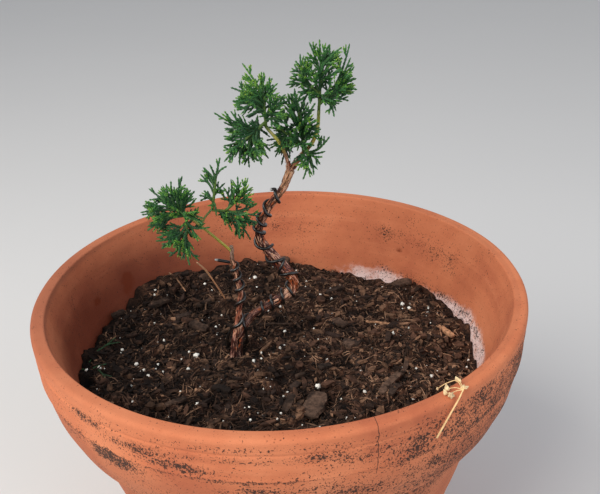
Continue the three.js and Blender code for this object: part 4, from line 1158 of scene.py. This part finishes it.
def finerSprays(grown, seed):
    # every twig bends forward a little and bears pointed cordlets by turns left and right; a cordlet's length
    # is a share of what is left of its twig, and it stays inside the mass's outline
    look, random = sprayLook, np.random.default_rng(seed)
    cords = []  # start, bend, tip, lean, tone, kind
    centre, space = grown["centre"], grown["space"]

    def toneOf(point):
        # painted light: leaves lighter towards the mass's top and front; lighter outwards for young tips,
        # darker inwards as painted shade
        outward = np.linalg.norm((point - centre) / space)
        lit = 0.16 * (point[2] - centre[2]) / space[2] - 0.12 * (point[1] - centre[1]) / space[1]
        return 0.62 * outward + lit + random.normal(0, 0.11)

    def addCordlet(at, along, side, angle, reach, lean, tone):
        out = at + (along * np.cos(angle) + side * np.sin(angle)) * reach
        over = overOutline(out, centre, grown["outline"]) - look["overReach"]
        if over > 0:
            reach -= over
            if reach < 1.6:
                return
            out = at + (along * np.cos(angle) + side * np.sin(angle)) * reach
        elbow = at + (along * np.cos(angle * 1.2) + side * np.sin(angle * 1.2)) * reach * 0.5
        cords.append((at, elbow, out, lean, tone, 2))

    for root, bend, tip, lean in grown["shoots"]:
        lead = tip + unit(tip - bend) * look["lead"]
        cords.append((root, bend, lead, lean, toneOf((root + tip) / 2) - 0.1, 0))
    for start, end, lean, shoot, share in grown["twigs"]:
        root, bend, tip, _ = grown["shoots"][shoot]
        rest = np.linalg.norm(tip - root) * (1 - share)
        if rest < look["leastRest"]:
            continue
        length = np.linalg.norm(end - start)
        shrink = min(1, (look["twigRest"][0] * rest + look["twigRest"][1]) / length)
        over = overOutline(start + (end - start) * shrink, centre, grown["outline"]) - look["overReach"]
        if over > 0:
            shrink *= max(0.4, 1 - over / length)
        end = start + (end - start) * shrink
        length *= shrink
        forward = unit(bendPoint(root, bend, tip, min(share + 0.1, 1)) - bendPoint(root, bend, tip, share))
        aside = unit(end - start - forward * ((end - start) @ forward))
        bow = aside * 0.09 - forward * 0.04 + random.normal(0, 0.03, 3)
        middle = (start + end) / 2 + bow * length
        tone = toneOf(end)
        cords.append((start, middle, end, lean, tone, 1))
        along = unit(end - start)
        place, turn = look["firstCordlet"] * random.uniform(0.8, 1.3), 1 if random.random() < 0.5 else -1
        while place < length - look["lastCordlet"]:
            least, restShare, most = look["cordletLength"]
            reach = min(most, least + restShare * (length - place)) * random.uniform(0.8, 1.15)
            side = unit(np.cross(lean, along) * turn + lean * random.uniform(-0.8, 0.8))
            at = bendPoint(start, middle, end, place / length)
            angle = np.radians(random.uniform(*look["cordletAngle"]))
            addCordlet(at, along, side, angle, reach, lean, tone + 0.04 + random.normal(0, 0.06))
            turn = -turn
            place += look["cordletSpacing"] * random.uniform(0.8, 1.2)
    return [np.array(column) for column in zip(*cords)]


def cordTubes(start, bend, tip, lean, footRadius, tipRadius, rings, sides):
    # tubes along the bends; the radius goes from foot to tip by the square of the share, then to a point
    share = np.linspace(0, 1, rings)[None, :, None]
    line = bendPoint(start[:, None], bend[:, None], tip[:, None], share)
    radii = np.repeat(footRadius + (tipRadius - footRadius) * share**2, sides, 2).repeat(len(start), 0)
    return tubesAlong(line, *squareAxes(line, lean[:, None]), radii, tip + unit(tip - bend) * tipRadius * 2.5)


def scaleLeaves(start, bend, tip, lean, footRadius, tipRadius, look, random):
    # pairs of scales face each other, each pair square to the last; a leaf is two low pyramids on one
    # triangle; also given back are each leaf's share along its cord and the cord's number
    length = np.linalg.norm(bend - start, axis=1) + np.linalg.norm(tip - bend, axis=1)
    pairs = np.maximum(2, np.round(length / look["leafSpacing"]).astype(int))
    cord = np.repeat(np.arange(len(start)), pairs)
    number = np.arange(len(cord)) - np.repeat(np.cumsum(pairs) - pairs, pairs)
    share = ((number + 0.35) / pairs[cord])[:, None]
    line = bendPoint(start[cord], bend[cord], tip[cord], share)
    tangent = unit(2 * (1 - share) * (bend - start)[cord] + 2 * share * (tip - bend)[cord])
    across = squareTo(lean[cord], tangent)
    upward = np.cross(tangent, across)
    radius = footRadius + (tipRadius - footRadius) * share**2
    leaves = []
    for half in (0, np.pi):
        turn = (number * np.pi / 2 + half + random.normal(0, 0.18, len(cord)))[:, None]
        out = across * np.cos(turn) + upward * np.sin(turn)
        side = np.cross(tangent, out)
        size = random.uniform(0.85, 1.2, (len(cord), 1)) * (1 - 0.2 * share)
        long, wide = look["leafLength"] * size, look["leafWidth"] * size * (0.4 + 1.3 * radius)
        lift = look["leafLift"] * random.uniform(0.3, 2.2, (len(cord), 1))
        foot = line + out * radius * 0.7
        leaves.append(np.stack([foot - side * wide, foot + side * wide,
                                line + tangent * long + out * (radius * 0.8 + lift),
                                foot + tangent * long * 0.35 + out * (0.16 + radius * 0.4),
                                line + tangent * long * 0.1], 1))
    return np.concatenate(leaves), np.concatenate([share[:, 0], share[:, 0]]), np.concatenate([cord, cord])


def leafFaces(count):
    # a leaf's five points carry three faces above its triangle and three below
    return repeatFaces([(3, 0, 1), (3, 1, 2), (3, 2, 0), (4, 1, 0), (4, 2, 1), (4, 0, 2)], 5, count)


def plainMaterial(name, colour, roughness):
    material, shader, _ = newMaterial(name, roughness, 0.4)
    feed(shader.inputs["Base Color"], screenColour(colour))
    return material


def makeFoliage(look):
    # each mass has its arms, its shoots' stems, and cords and scale leaves on its shoots, twigs and cordlets
    tones = ("dark", "middle", "bright", "young")
    leafMaterials = [plainMaterial(tone + "Leaf", look[tone], 0.5) for tone in tones]
    cordMaterial = plainMaterial("cordGreen", look["cord"], 0.55)
    armMaterial = plainMaterial("armGreen", look["arm"], 0.6)
    stemMaterial = plainMaterial("shootStem", look["stem"], 0.6)
    others, total = limbStretches(), 0
    for name, mass in massSizes.items():
        grown, stretches = growMass(mass, others)
        others = np.vstack([others, stretches])
        random = np.random.default_rng(mass["seed"])
        title = "".join(part.capitalize() for part in name.split("_")[1:])
        start, bend, tip, lean, tone, kind = finerSprays(grown, mass["seed"] + 5)
        arms = np.array(mass["arms"], float)
        leans = np.tile((0, 1.0, 0.2), (len(arms), 1))
        arm = cordTubes(arms[:, 0], arms.mean(1) + (0.3, 0, 0.3), arms[:, 1], leans, 0.9, 0.5, 8, 10)
        makePiece("arms" + title, *arm, armMaterial, "green_stem", [name])
        shoots = kind == 0
        lower = bendPoint(start, bend, tip, 0.7)
        stem = cordTubes(start[shoots], bend[shoots], lower[shoots], lean[shoots], 0.64, 0.3, 8, 7)
        makePiece("shootStems" + title, *stem, stemMaterial, "green_stem", [name])
        cords, leaves, shares = [], [], []
        for level, (radii, rings, sides) in enumerate(look["cords"]):
            these = kind == level
            ends = start[these], bend[these], tip[these], lean[these]
            cords.append((*cordTubes(*ends, *radii, rings, sides), {}))
            points, share, cord = scaleLeaves(*ends, *radii, look, random)
            leaves.append(points)
            shares.append(tone[these][cord] + look["tipTone"] * (share - 0.45) + 0.06 * (level == 2))
        points, quads, fans, _ = joinParts(cords)
        makePiece("cords" + title, points, quads, fans, cordMaterial, "foliage", [name])
        total += len(quads) * 2 + len(fans)
        leaves, shares = np.concatenate(leaves), np.digitize(np.concatenate(shares), look["toneLimits"])
        for index, toneName in enumerate(tones):
            points = leaves[shares == index]
            if len(points):
                makePiece(toneName + "Leaves" + title, points, [], leafFaces(len(points)),
                          leafMaterials[index], "foliage", [name], smooth=False)
                total += len(points) * 6
    print("foliage grown,", total, "triangles")


makeFoliage(sprayLook)

# Loose bits on the soil: crumbs, shards, chips, fibres and strips of bark, white grains and fallen sprigs

debrisLook = {
    "reach": 124.5, "tones": ("Dark", "Brown", "Dry"),
    # for each tone a number and a colour, how far from the edge the bits stop, the power of their draws, and
    # their sizes from least to most
    "crumbs": {"counts": (2352, 2128, 1120), "colours": ((24, 17, 14), (56, 40, 32), (104, 80, 64)),
               "inset": 0, "power": 2.4, "sizes": ((0.4, 1.35),),
               "lift": 0.45, "tilt": 0.6, "rough": 0.3, "splits": 0},
    # half-length, half-width and thickness
    "shards": {"counts": (1840, 1840, 920), "colours": ((38, 28, 23), (74, 54, 43), (128, 100, 80)),
               "inset": 2, "power": 1.7, "sizes": ((0.9, 5.4), (0.3, 1.7), (0.3, 1.0))},
    "chips": {"counts": (180, 180, 180), "colours": ((44, 33, 28), (74, 53, 42), (92, 70, 55)),
              "inset": 5, "power": 1.4, "sizes": ((2.6, 6.4), (1.3, 3.4), (0.8, 2.4)),
              "fromGrain": 4.5, "fromTrunk": 14},
    # length and radius
    "fibres": {"counts": (1944, 2160, 1296), "colours": ((40, 29, 23), (76, 57, 46), (126, 100, 81)),
               "inset": 2, "power": 1.8, "sizes": ((3.0, 13.0), (0.09, 0.3)), "curl": 0.16},
    "grains": {"counts": (250,), "colour": (238, 234, 226), "inset": 1, "power": 2, "sizes": ((0.3, 0.8),),
               "lift": 0.8, "tilt": 0.5, "rough": 0.32, "splits": 1},
    # x, y, half-size of the grains that stand out
    "largeGrains": ((-56.6, -0.5, 2.1), (-55.4, 89, 1.3), (-18, 98, 1.5), (-44.6, 68, 0.9),
                    (-37.7, 67.5, 1.5), (-81, 70, 0.8), (-90, 75, 1.0), (-88, 41, 0.9), (-53, 33, 0.8),
                    (-79, 17, 0.8), (-106, 10, 0.8), (-95, -5.4, 1.6), (-89, -13, 0.9), (-77, -14, 0.8),
                    (-61, -14, 1.1), (-85, -23, 1.2), (-123, -21, 1.0), (-115, -21, 1.2), (-53, -50, 1.1),
                    (-22, 13, 1.0), (-28, 0.4, 0.8), (-19, -10, 1.2), (-14, -10, 0.9), (-16.5, -23, 0.9),
                    (-8, -37, 0.7), (-1.4, -1.6, 0.9), (2, 24, 0.9), (0, 49, 0.9), (19.5, 85, 0.8),
                    (29, 64, 1.3), (22, 28, 0.8), (-14, -66, 0.8), (-21, -70, 0.8), (86, 48, 1.3),
                    (90, 42, 1.3), (102, 36, 1.0), (104, 45, 1.0), (74, 9, 1.4), (85, 16, 0.8), (31, 20, 0.9),
                    (37, 60, 0.8), (47.5, 35, 0.7), (28, -14, 0.8), (48, -28, 0.8), (83, -27.5, 0.9),
                    (91, -37, 0.9), (101, -31, 0.9), (119, -15, 0.7), (48, -50, 1.2), (20.5, -41, 1.6),
                    (13.7, 112, 1.0)),
    # from x, y to x, y, half-width, thickness, tone
    "strips": ((58, 28, 82, 16.5, 0.9, 0.7, 2), (57, -57, 71, -36, 2.8, 1.3, 1),
               (-17, 33, 7, 31, 0.6, 0.6, 1), (3, 42, 13, 26, 0.6, 0.6, 1), (-82, 98, -68, 72, 0.5, 0.5, 2),
               (11.5, -71, 20, -48, 6.6, 1.8, 1), (-1, -66, 4, -49, 2.9, 1.3, 1),
               (4, -42, 9, -36, 2.6, 1.2, 0), (-77, 94, -67, 97, 2.4, 1.0, 0), (84, 72, 97, 76, 4.2, 1.4, 1),
               (36, 31, 44, 23, 3.6, 1.4, 1), (41, 3, 46, -2, 3.6, 1.6, 1), (104, 16, 113, 4, 2.2, 1.2, 2),
               (-4, -118, 8, -112, 2.4, 1.2, 1), (-62, 34, -50, 26, 3.4, 1.8, 1),
               (-92, 60, -80, 66, 3.0, 1.4, 1), (-60, 96, -50, 100, 3.2, 1.6, 1),
               (62, -60, 68, -50, 2.4, 1.2, 0), (7, -31, 13, -29, 1.6, 1.0, 1),
               (22, -27, 30, -24, 2.2, 1.0, 0), (-72, 40, -63, 45, 2.6, 1.8, 0),
               (-117, 44, -109, 49, 2.4, 1.8, 1), (-2, 119, 9, 121, 2.8, 2.2, 1),
               (70, -38, 79, -16, 1.6, 1.1, 1), (34, 66, 47, 72, 2.2, 1.2, 0),
               (-60, 66, -49, 72, 2.0, 1.2, 1), (-44, -40, -33, -46, 2.2, 1.2, 0),
               (-72, -52, -60, -44, 2.0, 1.0, 1), (40, 6, 50, 0, 2.4, 1.4, 0)),
    "stripColours": ((48, 38, 33), (74, 59, 50), (150, 116, 90)),
    # start x, y and tip x, y of each sprig's cords
    "sprigs": ((-121, 3, -112, 21), (-120, 8, -124, -8), (-118, 12, -108, 15), (-126, -20, -107, -27),
               (-118, -23, -112, -16), (-115, -24, -108, -33)),
    "sprigColour": (40, 70, 44),
}


def bitMaterial(name, colour, roughness=0.9, spread=0.4, earthy=True):
    # one colour, darker and paler by noise a millimetre or so wide
    material, shader, place = newMaterial(name, roughness, 0.25)
    base = screenColour(colour)
    value = stepOf(noiseOf(place, 420.0, 4.0, 0.65), 0.35, 0.65)
    shade = mixOf(value, base * (1 - spread), np.minimum(base * (1 + spread), 0.95))
    feed(shader.inputs["Base Color"], hollowOf(place, shade) if earthy else shade)
    bumpOf(shader, [(noiseOf(place, 1500.0, 3.0), 0.6, 0.2)])
    return material


def roundIco(splits):
    # the twelve corners (0, ±1, ±g), turned through the axes, g the golden ratio; a split halves each edge
    golden = (1 + 5**0.5) / 2
    corners = [np.roll((0, a, b * golden), turn) for turn in range(3) for a in (-1, 1) for b in (-1, 1)]
    points = np.array(corners, float)
    near = np.isclose(np.linalg.norm(points[:, None] - points, axis=-1), 2)
    faces = np.array([(i, j, k) for i in range(12) for j in range(i + 1, 12) for k in range(j + 1, 12)
                      if near[i, j] and near[j, k] and near[i, k]])
    a, b, c = (points[faces[:, i]] for i in range(3))
    inward = np.einsum("ij,ij->i", a, np.cross(b, c)) < 0
    faces[inward] = faces[inward][:, ::-1]
    for _ in range(splits):
        edges = np.sort(np.vstack([faces[:, [0, 1]], faces[:, [1, 2]], faces[:, [2, 0]]]), 1)
        unique, which = np.unique(edges, axis=0, return_inverse=True)
        middles = len(points) + which.reshape(3, -1)
        points = np.vstack([points, points[unique].mean(1)])
        a, b, c = faces.T
        ab, bc, ca = middles
        faces = np.vstack([np.stack(row, 1) for row in ((a, ab, ca), (b, bc, ab), (c, ca, bc), (ab, bc, ca))])
    return unit(points), faces


def randomTurns(count, tilt, random):
    # spin about the upright, after a tilt away from it about a level axis
    spin, lean = random.uniform(0, 2 * np.pi, count), random.normal(0, tilt, count)
    long = np.stack([np.cos(spin) * np.cos(lean), np.sin(spin) * np.cos(lean), np.sin(lean)], -1)
    across = np.stack([-np.sin(spin), np.cos(spin), np.zeros(count)], -1)
    return long, across, np.cross(long, across)


def scatterPlaces(count, reach, random):
    # even over the disc: the radius is the root of an even share
    angle, radius = random.uniform(0, 2 * np.pi, count), reach * np.sqrt(random.uniform(0, 1, count))
    return radius * np.cos(angle), radius * np.sin(angle)


def lumpPiece(name, x, y, sizes, kind, random, material):
    # centre + corner · half-axes, each corner moved in or out by its own draw
    corners, faces = roundIco(kind["splits"])
    ways = randomTurns(len(x), kind["tilt"], random)
    jitter = 1 + kind["rough"] * random.uniform(-1, 1, (len(x), len(corners)))
    local = corners * sizes[:, None] * jitter[..., None]
    centre = np.stack([x, y, soilHeight(x, y) + sizes[:, 2] * kind["lift"]], -1)
    points = centre[:, None] + np.einsum("nca,anx->ncx", local, ways)
    faces = repeatFaces(faces, len(corners), len(x))
    makePiece(name, points, [], faces, material, "soil", smooth=kind["splits"] > 0)


def shardPiece(name, x, y, length, width, thickness, random, material):
    # a flat shard: two rings of seven uneven corners, half its thickness above and below its middle
    long, across, upward = randomTurns(len(x), 0.34, random)
    centre = np.stack([x, y, soilHeight(x, y) + thickness * random.uniform(0.2, 1.1, len(x))], -1)
    half = upward * thickness[:, None] / 2
    outline = random.uniform(0.62, 1.15, (len(x), 1, 7)) * random.uniform(0.86, 1.0, (len(x), 2, 7))
    shards = tubesAlong(np.stack([centre - half, centre + half], 1), (long * length[:, None])[:, None],
                        (across * width[:, None])[:, None], outline)
    makePiece(name, *shards, material, "soil", smooth=False)


def fibrePiece(name, x, y, length, radius, random, material):
    # a fibre follows the ground from its middle both ways, bent by a small turn, its ends drawn in
    rings, sides = 5, 4
    spin, curl = random.uniform(0, 2 * np.pi, len(x)), random.normal(0, debrisLook["fibres"]["curl"], len(x))
    share = np.linspace(-0.5, 0.5, rings)
    way = spin[:, None] + curl[:, None] * share * 2
    along = share * length[:, None]
    lineX, lineY = x[:, None] + along * np.cos(way), y[:, None] + along * np.sin(way)
    shrink = np.minimum(1, debrisLook["reach"] / np.hypot(lineX, lineY))
    lineX, lineY = lineX * shrink, lineY * shrink
    arch = random.uniform(0, 1, (len(x), 1)) ** 3 * 2.2 * (1 - 4 * share**2)
    slope = random.normal(0, 0.5, (len(x), 1)) * share
    ground = soilHeight(lineX, lineY)
    level = ground.mean(1, keepdims=True) + (ground[:, -1:] - ground[:, :1]) * share
    line = np.stack([lineX, lineY, level + 0.5 + arch + slope], -1)
    across, upward = squareAxes(line, upWay)
    radii = radius[:, None, None] * (1 - 0.75 * (2 * share[None, :, None]) ** 4) * np.ones((1, 1, sides))
    fibres = tubesAlong(line, across, upward * random.uniform(1.0, 2.2, (len(x), 1, 1)), radii)
    makePiece(name, *fibres, material, "soil", smooth=False)


def stripPiece(name, strips, random, material):
    # a named strip lies along the ground between its ends: twelve rings of eight corners, wide and thin
    rings, sides = 12, 8
    strips = np.array(strips, float)[:, None]
    start, end, width, thick = strips[..., :2], strips[..., 2:4], strips[..., 4:5], strips[..., 5:6]
    share = np.linspace(0, 1, rings)[None, :, None]
    aside = (end - start)[..., ::-1] * (-1, 1)
    bow = random.uniform(-0.07, 0.07, (len(strips), 1, 1))
    flat = start * (1 - share) + end * share + aside * bow * np.sin(np.pi * share)
    ground = soilHeight(flat[..., 0], flat[..., 1])[..., None]
    level = ground * 0.25 + ground.mean(1, keepdims=True) * 0.3 + ground.max(1, keepdims=True) * 0.45
    line = np.concatenate([flat, level + thick * 0.6 + width * 0.16], -1)
    upward, across = squareAxes(line, upWay)
    ragged = random.uniform(0.84, 1.1, (len(strips), rings, sides)) * np.tile((1.0, 1.27), sides // 2)
    radii = ragged * (1 - 0.35 * np.abs(2 * share - 1) ** 9)
    makePiece(name, *tubesAlong(line, across * width, upward * thick, radii), material, "soil", smooth=False)


def makeDebris(look):
    # bits lie even over the disc, and chips keep away from the trunk and the large grains
    random, chipRandom = np.random.default_rng(81), np.random.default_rng(83)
    named = np.array(look["largeGrains"], float)

    def scatter(kind, index, random):
        x, y = scatterPlaces(kind["counts"][index], look["reach"] - kind["inset"], random)
        fromTrunk = np.hypot(x - soilSize["trunkAt"][0], y - soilSize["trunkAt"][1])
        fromGrain = np.hypot(x[:, None] - named[:, 0], y[:, None] - named[:, 1]).min(1)
        clear = (fromTrunk > kind.get("fromTrunk", 0)) & (fromGrain > kind.get("fromGrain", 0))
        sizes = [drawSizes(size, kind["power"], clear.sum(), random) for size in kind["sizes"]]
        return x[clear], y[clear], *sizes

    for index, tone in enumerate(look["tones"]):
        crumbs, shards, fibres = look["crumbs"], look["shards"], look["fibres"]
        x, y, size = scatter(crumbs, index, random)
        sizes = size[:, None] * random.uniform(0.6, 1.25, (len(size), 3))
        lumpPiece("crumbs" + tone, x, y, sizes, crumbs, random,
                  bitMaterial("crumb" + tone, crumbs["colours"][index]))
        shardPiece("shards" + tone, *scatter(shards, index, random), random,
                   bitMaterial("shard" + tone, shards["colours"][index]))
        fibrePiece("fibres" + tone, *scatter(fibres, index, random), random,
                   bitMaterial("fibre" + tone, fibres["colours"][index]))
        stripPiece("strips" + tone, [strip for strip in look["strips"] if strip[6] == index], random,
                   bitMaterial("strip" + tone, look["stripColours"][index]))
    for index, tone in enumerate(look["tones"]):
        shardPiece("chips" + tone, *scatter(look["chips"], index, chipRandom), chipRandom,
                   bitMaterial("chip" + tone, look["chips"]["colours"][index]))
    x, y, size = scatter(look["grains"], 0, random)
    x, y, size = np.append(x, named[:, 0]), np.append(y, named[:, 1]), np.append(size, named[:, 2])
    sizes = size[:, None] * random.uniform(0.7, 1.3, (len(size), 3))
    lumpPiece("whiteGrains", x, y, sizes, look["grains"], random,
              bitMaterial("whiteGrain", look["grains"]["colour"], 0.8, 0.16, False))
    ends = np.array(look["sprigs"], float)
    start, tip = (np.column_stack([x, y, soilHeight(x, y) + 1.2]) for x, y in (ends[:, :2].T, ends[:, 2:].T))
    bend = (start + tip) / 2 + random.normal(0, 0.8, start.shape) + (0, 0, 1.0)
    lean = np.tile((0.1, 0.1, 1.0), (len(ends), 1))
    points, quads, fans = cordTubes(start, bend, tip, lean, 0.42, 0.3, 9, 6)
    leaves = scaleLeaves(start, bend, tip, lean, 0.42, 0.3, sprayLook, random)[0]
    fans = np.vstack([fans, leafFaces(len(leaves)) + len(points)])
    makePiece("fallenSprigs", np.vstack([points, leaves.reshape(-1, 3)]), quads, fans,
              bitMaterial("fallenSprig", look["sprigColour"], 0.6, 0.3, False), "foliage", smooth=False)


makeDebris(debrisLook)
print("loose bits scattered")

# A dried weed left on the rim: each point is degrees, distance from the axis and height

weedLook = {
    "stalks": (((-60.9, 152.6, 203.2), (-58.3, 153.1, 213.6), (-56.1, 153.3, 221.2), (-54.6, 152.9, 226.0)),
               ((-54.8, 152.9, 225.6), (-54.0, 148.5, 226.0), (-53.6, 145.4, 225.6), (-55.3, 143.0, 224.6),
                (-57.0, 141.6, 222.8)),
               ((-54.8, 152.9, 225.4), (-55.6, 151.4, 225.2), (-56.8, 150.4, 224.6)),
               ((-54.8, 152.9, 225.4), (-55.0, 148.6, 224.6), (-56.4, 146.2, 224.2)),
               ((-54.8, 152.9, 225.4), (-53.8, 149.6, 225.6), (-53.0, 145.8, 225.2)),
               ((-54.8, 152.9, 225.6), (-54.2, 152.9, 225.9), (-53.7, 152.6, 225.6))),
    "stalkRadius": (0.52, 0.26), "stalkColour": (238, 200, 146),
    # degrees, distance, height and half-size of each seed head
    "heads": ((-57.2, 151.2, 224.4, 1.9), (-56.0, 145.0, 224.0, 1.5), (-57.3, 147.2, 223.8, 1.2),
              (-57.2, 141.6, 222.8, 0.8), (-54.2, 151.4, 225.4, 1.2), (-53.7, 152.6, 225.4, 1.0),
              (-53.0, 144.8, 225.4, 1.4), (-52.9, 146.4, 225.2, 0.9)),
    "headColour": (232, 200, 156),
}


def makeWeed(look):
    # stalks are tubes through their points; a head is a ribbed bud, (1 - 0.55 z) times as wide at height z
    def spot(angle, radius, height):
        return radius * np.cos(np.radians(angle)), radius * np.sin(np.radians(angle)), height

    random, parts, heads = np.random.default_rng(91), [], []
    wide, narrow = look["stalkRadius"]
    for number, points in enumerate(look["stalks"]):
        line = throughPoints([spot(*point) for point in points], 8)
        radius = (wide if number == 0 else narrow) * (1 - 0.3 * np.linspace(0, 1, len(line)))
        radii = radius[:, None] * random.uniform(0.9, 1.1, (1, 7))
        across, upward = squareAxes(line, upWay)
        parts.append((*tubesAlong(line[None], across[None], upward[None], radii[None]), {}))
    makePiece("dryWeedStalks", *joinParts(parts)[:3],
              bitMaterial("weedStalk", look["stalkColour"], 0.7, 0.14, False), "straw")
    corners, faces = roundIco(2)
    around = np.arctan2(corners[:, 1], corners[:, 0])
    for angle, radius, height, size in look["heads"]:
        ribs = 1 + 0.22 * np.cos(around * 5) + 0.06 * random.uniform(-1, 1, len(corners))
        ribs = (ribs * (1 - 0.55 * corners[:, 2]))[:, None] ** (1, 1, 0)
        local = corners * ribs * size * (0.72, 0.72, 1.15 + 0.35 * random.random())
        lean, spin = random.uniform(0.3, 1.3), random.uniform(0, 2 * np.pi)
        axis = np.array([np.sin(lean) * np.cos(spin), np.sin(lean) * np.sin(spin), np.cos(lean)])
        across = unit(np.cross([0.3, 1.0, 0.2], axis))
        heads.append(local @ np.array([across, np.cross(axis, across), axis]) + spot(angle, radius, height))
    makePiece("dryWeedHeads", heads, [], repeatFaces(faces, len(corners), len(heads)),
              bitMaterial("weedHead", look["headColour"], 0.75, 0.3, False), "straw")


makeWeed(weedLook)
print("dried weed laid on the rim")

# Floor and light

stageLook = {
    "floorHalf": 6000, "floor": (226, 226, 226), "sky": (240, 242, 246), "skyStrength": 0.5,
    "lookAt": (0, 0, 230),
    "keyPlace": (-950, -750, 1400), "keySize": 1300, "keyPower": 29, "keyColour": (255, 250, 242),
    "fillPlace": (1300, -900, 900), "fillSize": 1400, "fillPower": 8, "fillColour": (238, 244, 255),
}


def makeAreaLight(name, place, size, power, colour):
    # the light looks from its place at the middle of the plant
    data = bpy.data.lights.new(name, "AREA")
    data.size = size * mm
    data.energy = power
    data.color = screenColour(colour)
    away = unit(np.array(place) - stageLook["lookAt"])
    side = unit(np.cross(upWay, away))
    placeObject(name, data, side, np.cross(away, side), away, place)


def makeStage(look):
    # a flat square floor at the pot's foot, a large soft light from the front left, a weak one at the right
    half = look["floorHalf"] * mm
    mesh = bpy.data.meshes.new("studioFloor")
    corners = [(-half, -half, 0), (half, -half, 0), (half, half, 0), (-half, half, 0)]
    mesh.from_pydata(corners, [], [(0, 1, 2, 3)])
    material, shader, place = newMaterial("studioFloor", 0.75, 0.3)
    base = screenColour(look["floor"])
    feed(shader.inputs["Base Color"], mixOf(noiseOf(place, 3.0), base, base * 0.97))
    mesh.materials.append(material)
    floor = bpy.data.objects.new("studioFloor", mesh)
    bpy.context.scene.collection.objects.link(floor)
    makeAreaLight("keyLight", look["keyPlace"], look["keySize"], look["keyPower"], look["keyColour"])
    makeAreaLight("fillLight", look["fillPlace"], look["fillSize"], look["fillPower"], look["fillColour"])
    world = bpy.data.worlds.new("studioWorld")
    world.use_nodes = True
    background = world.node_tree.nodes["Background"]
    background.inputs["Color"].default_value = (*screenColour(look["sky"]), 1.0)
    background.inputs["Strength"].default_value = look["skyStrength"]
    bpy.context.scene.world = world
    bpy.context.scene.view_settings.view_transform = "Standard"


makeStage(stageLook)
print("stage lit")
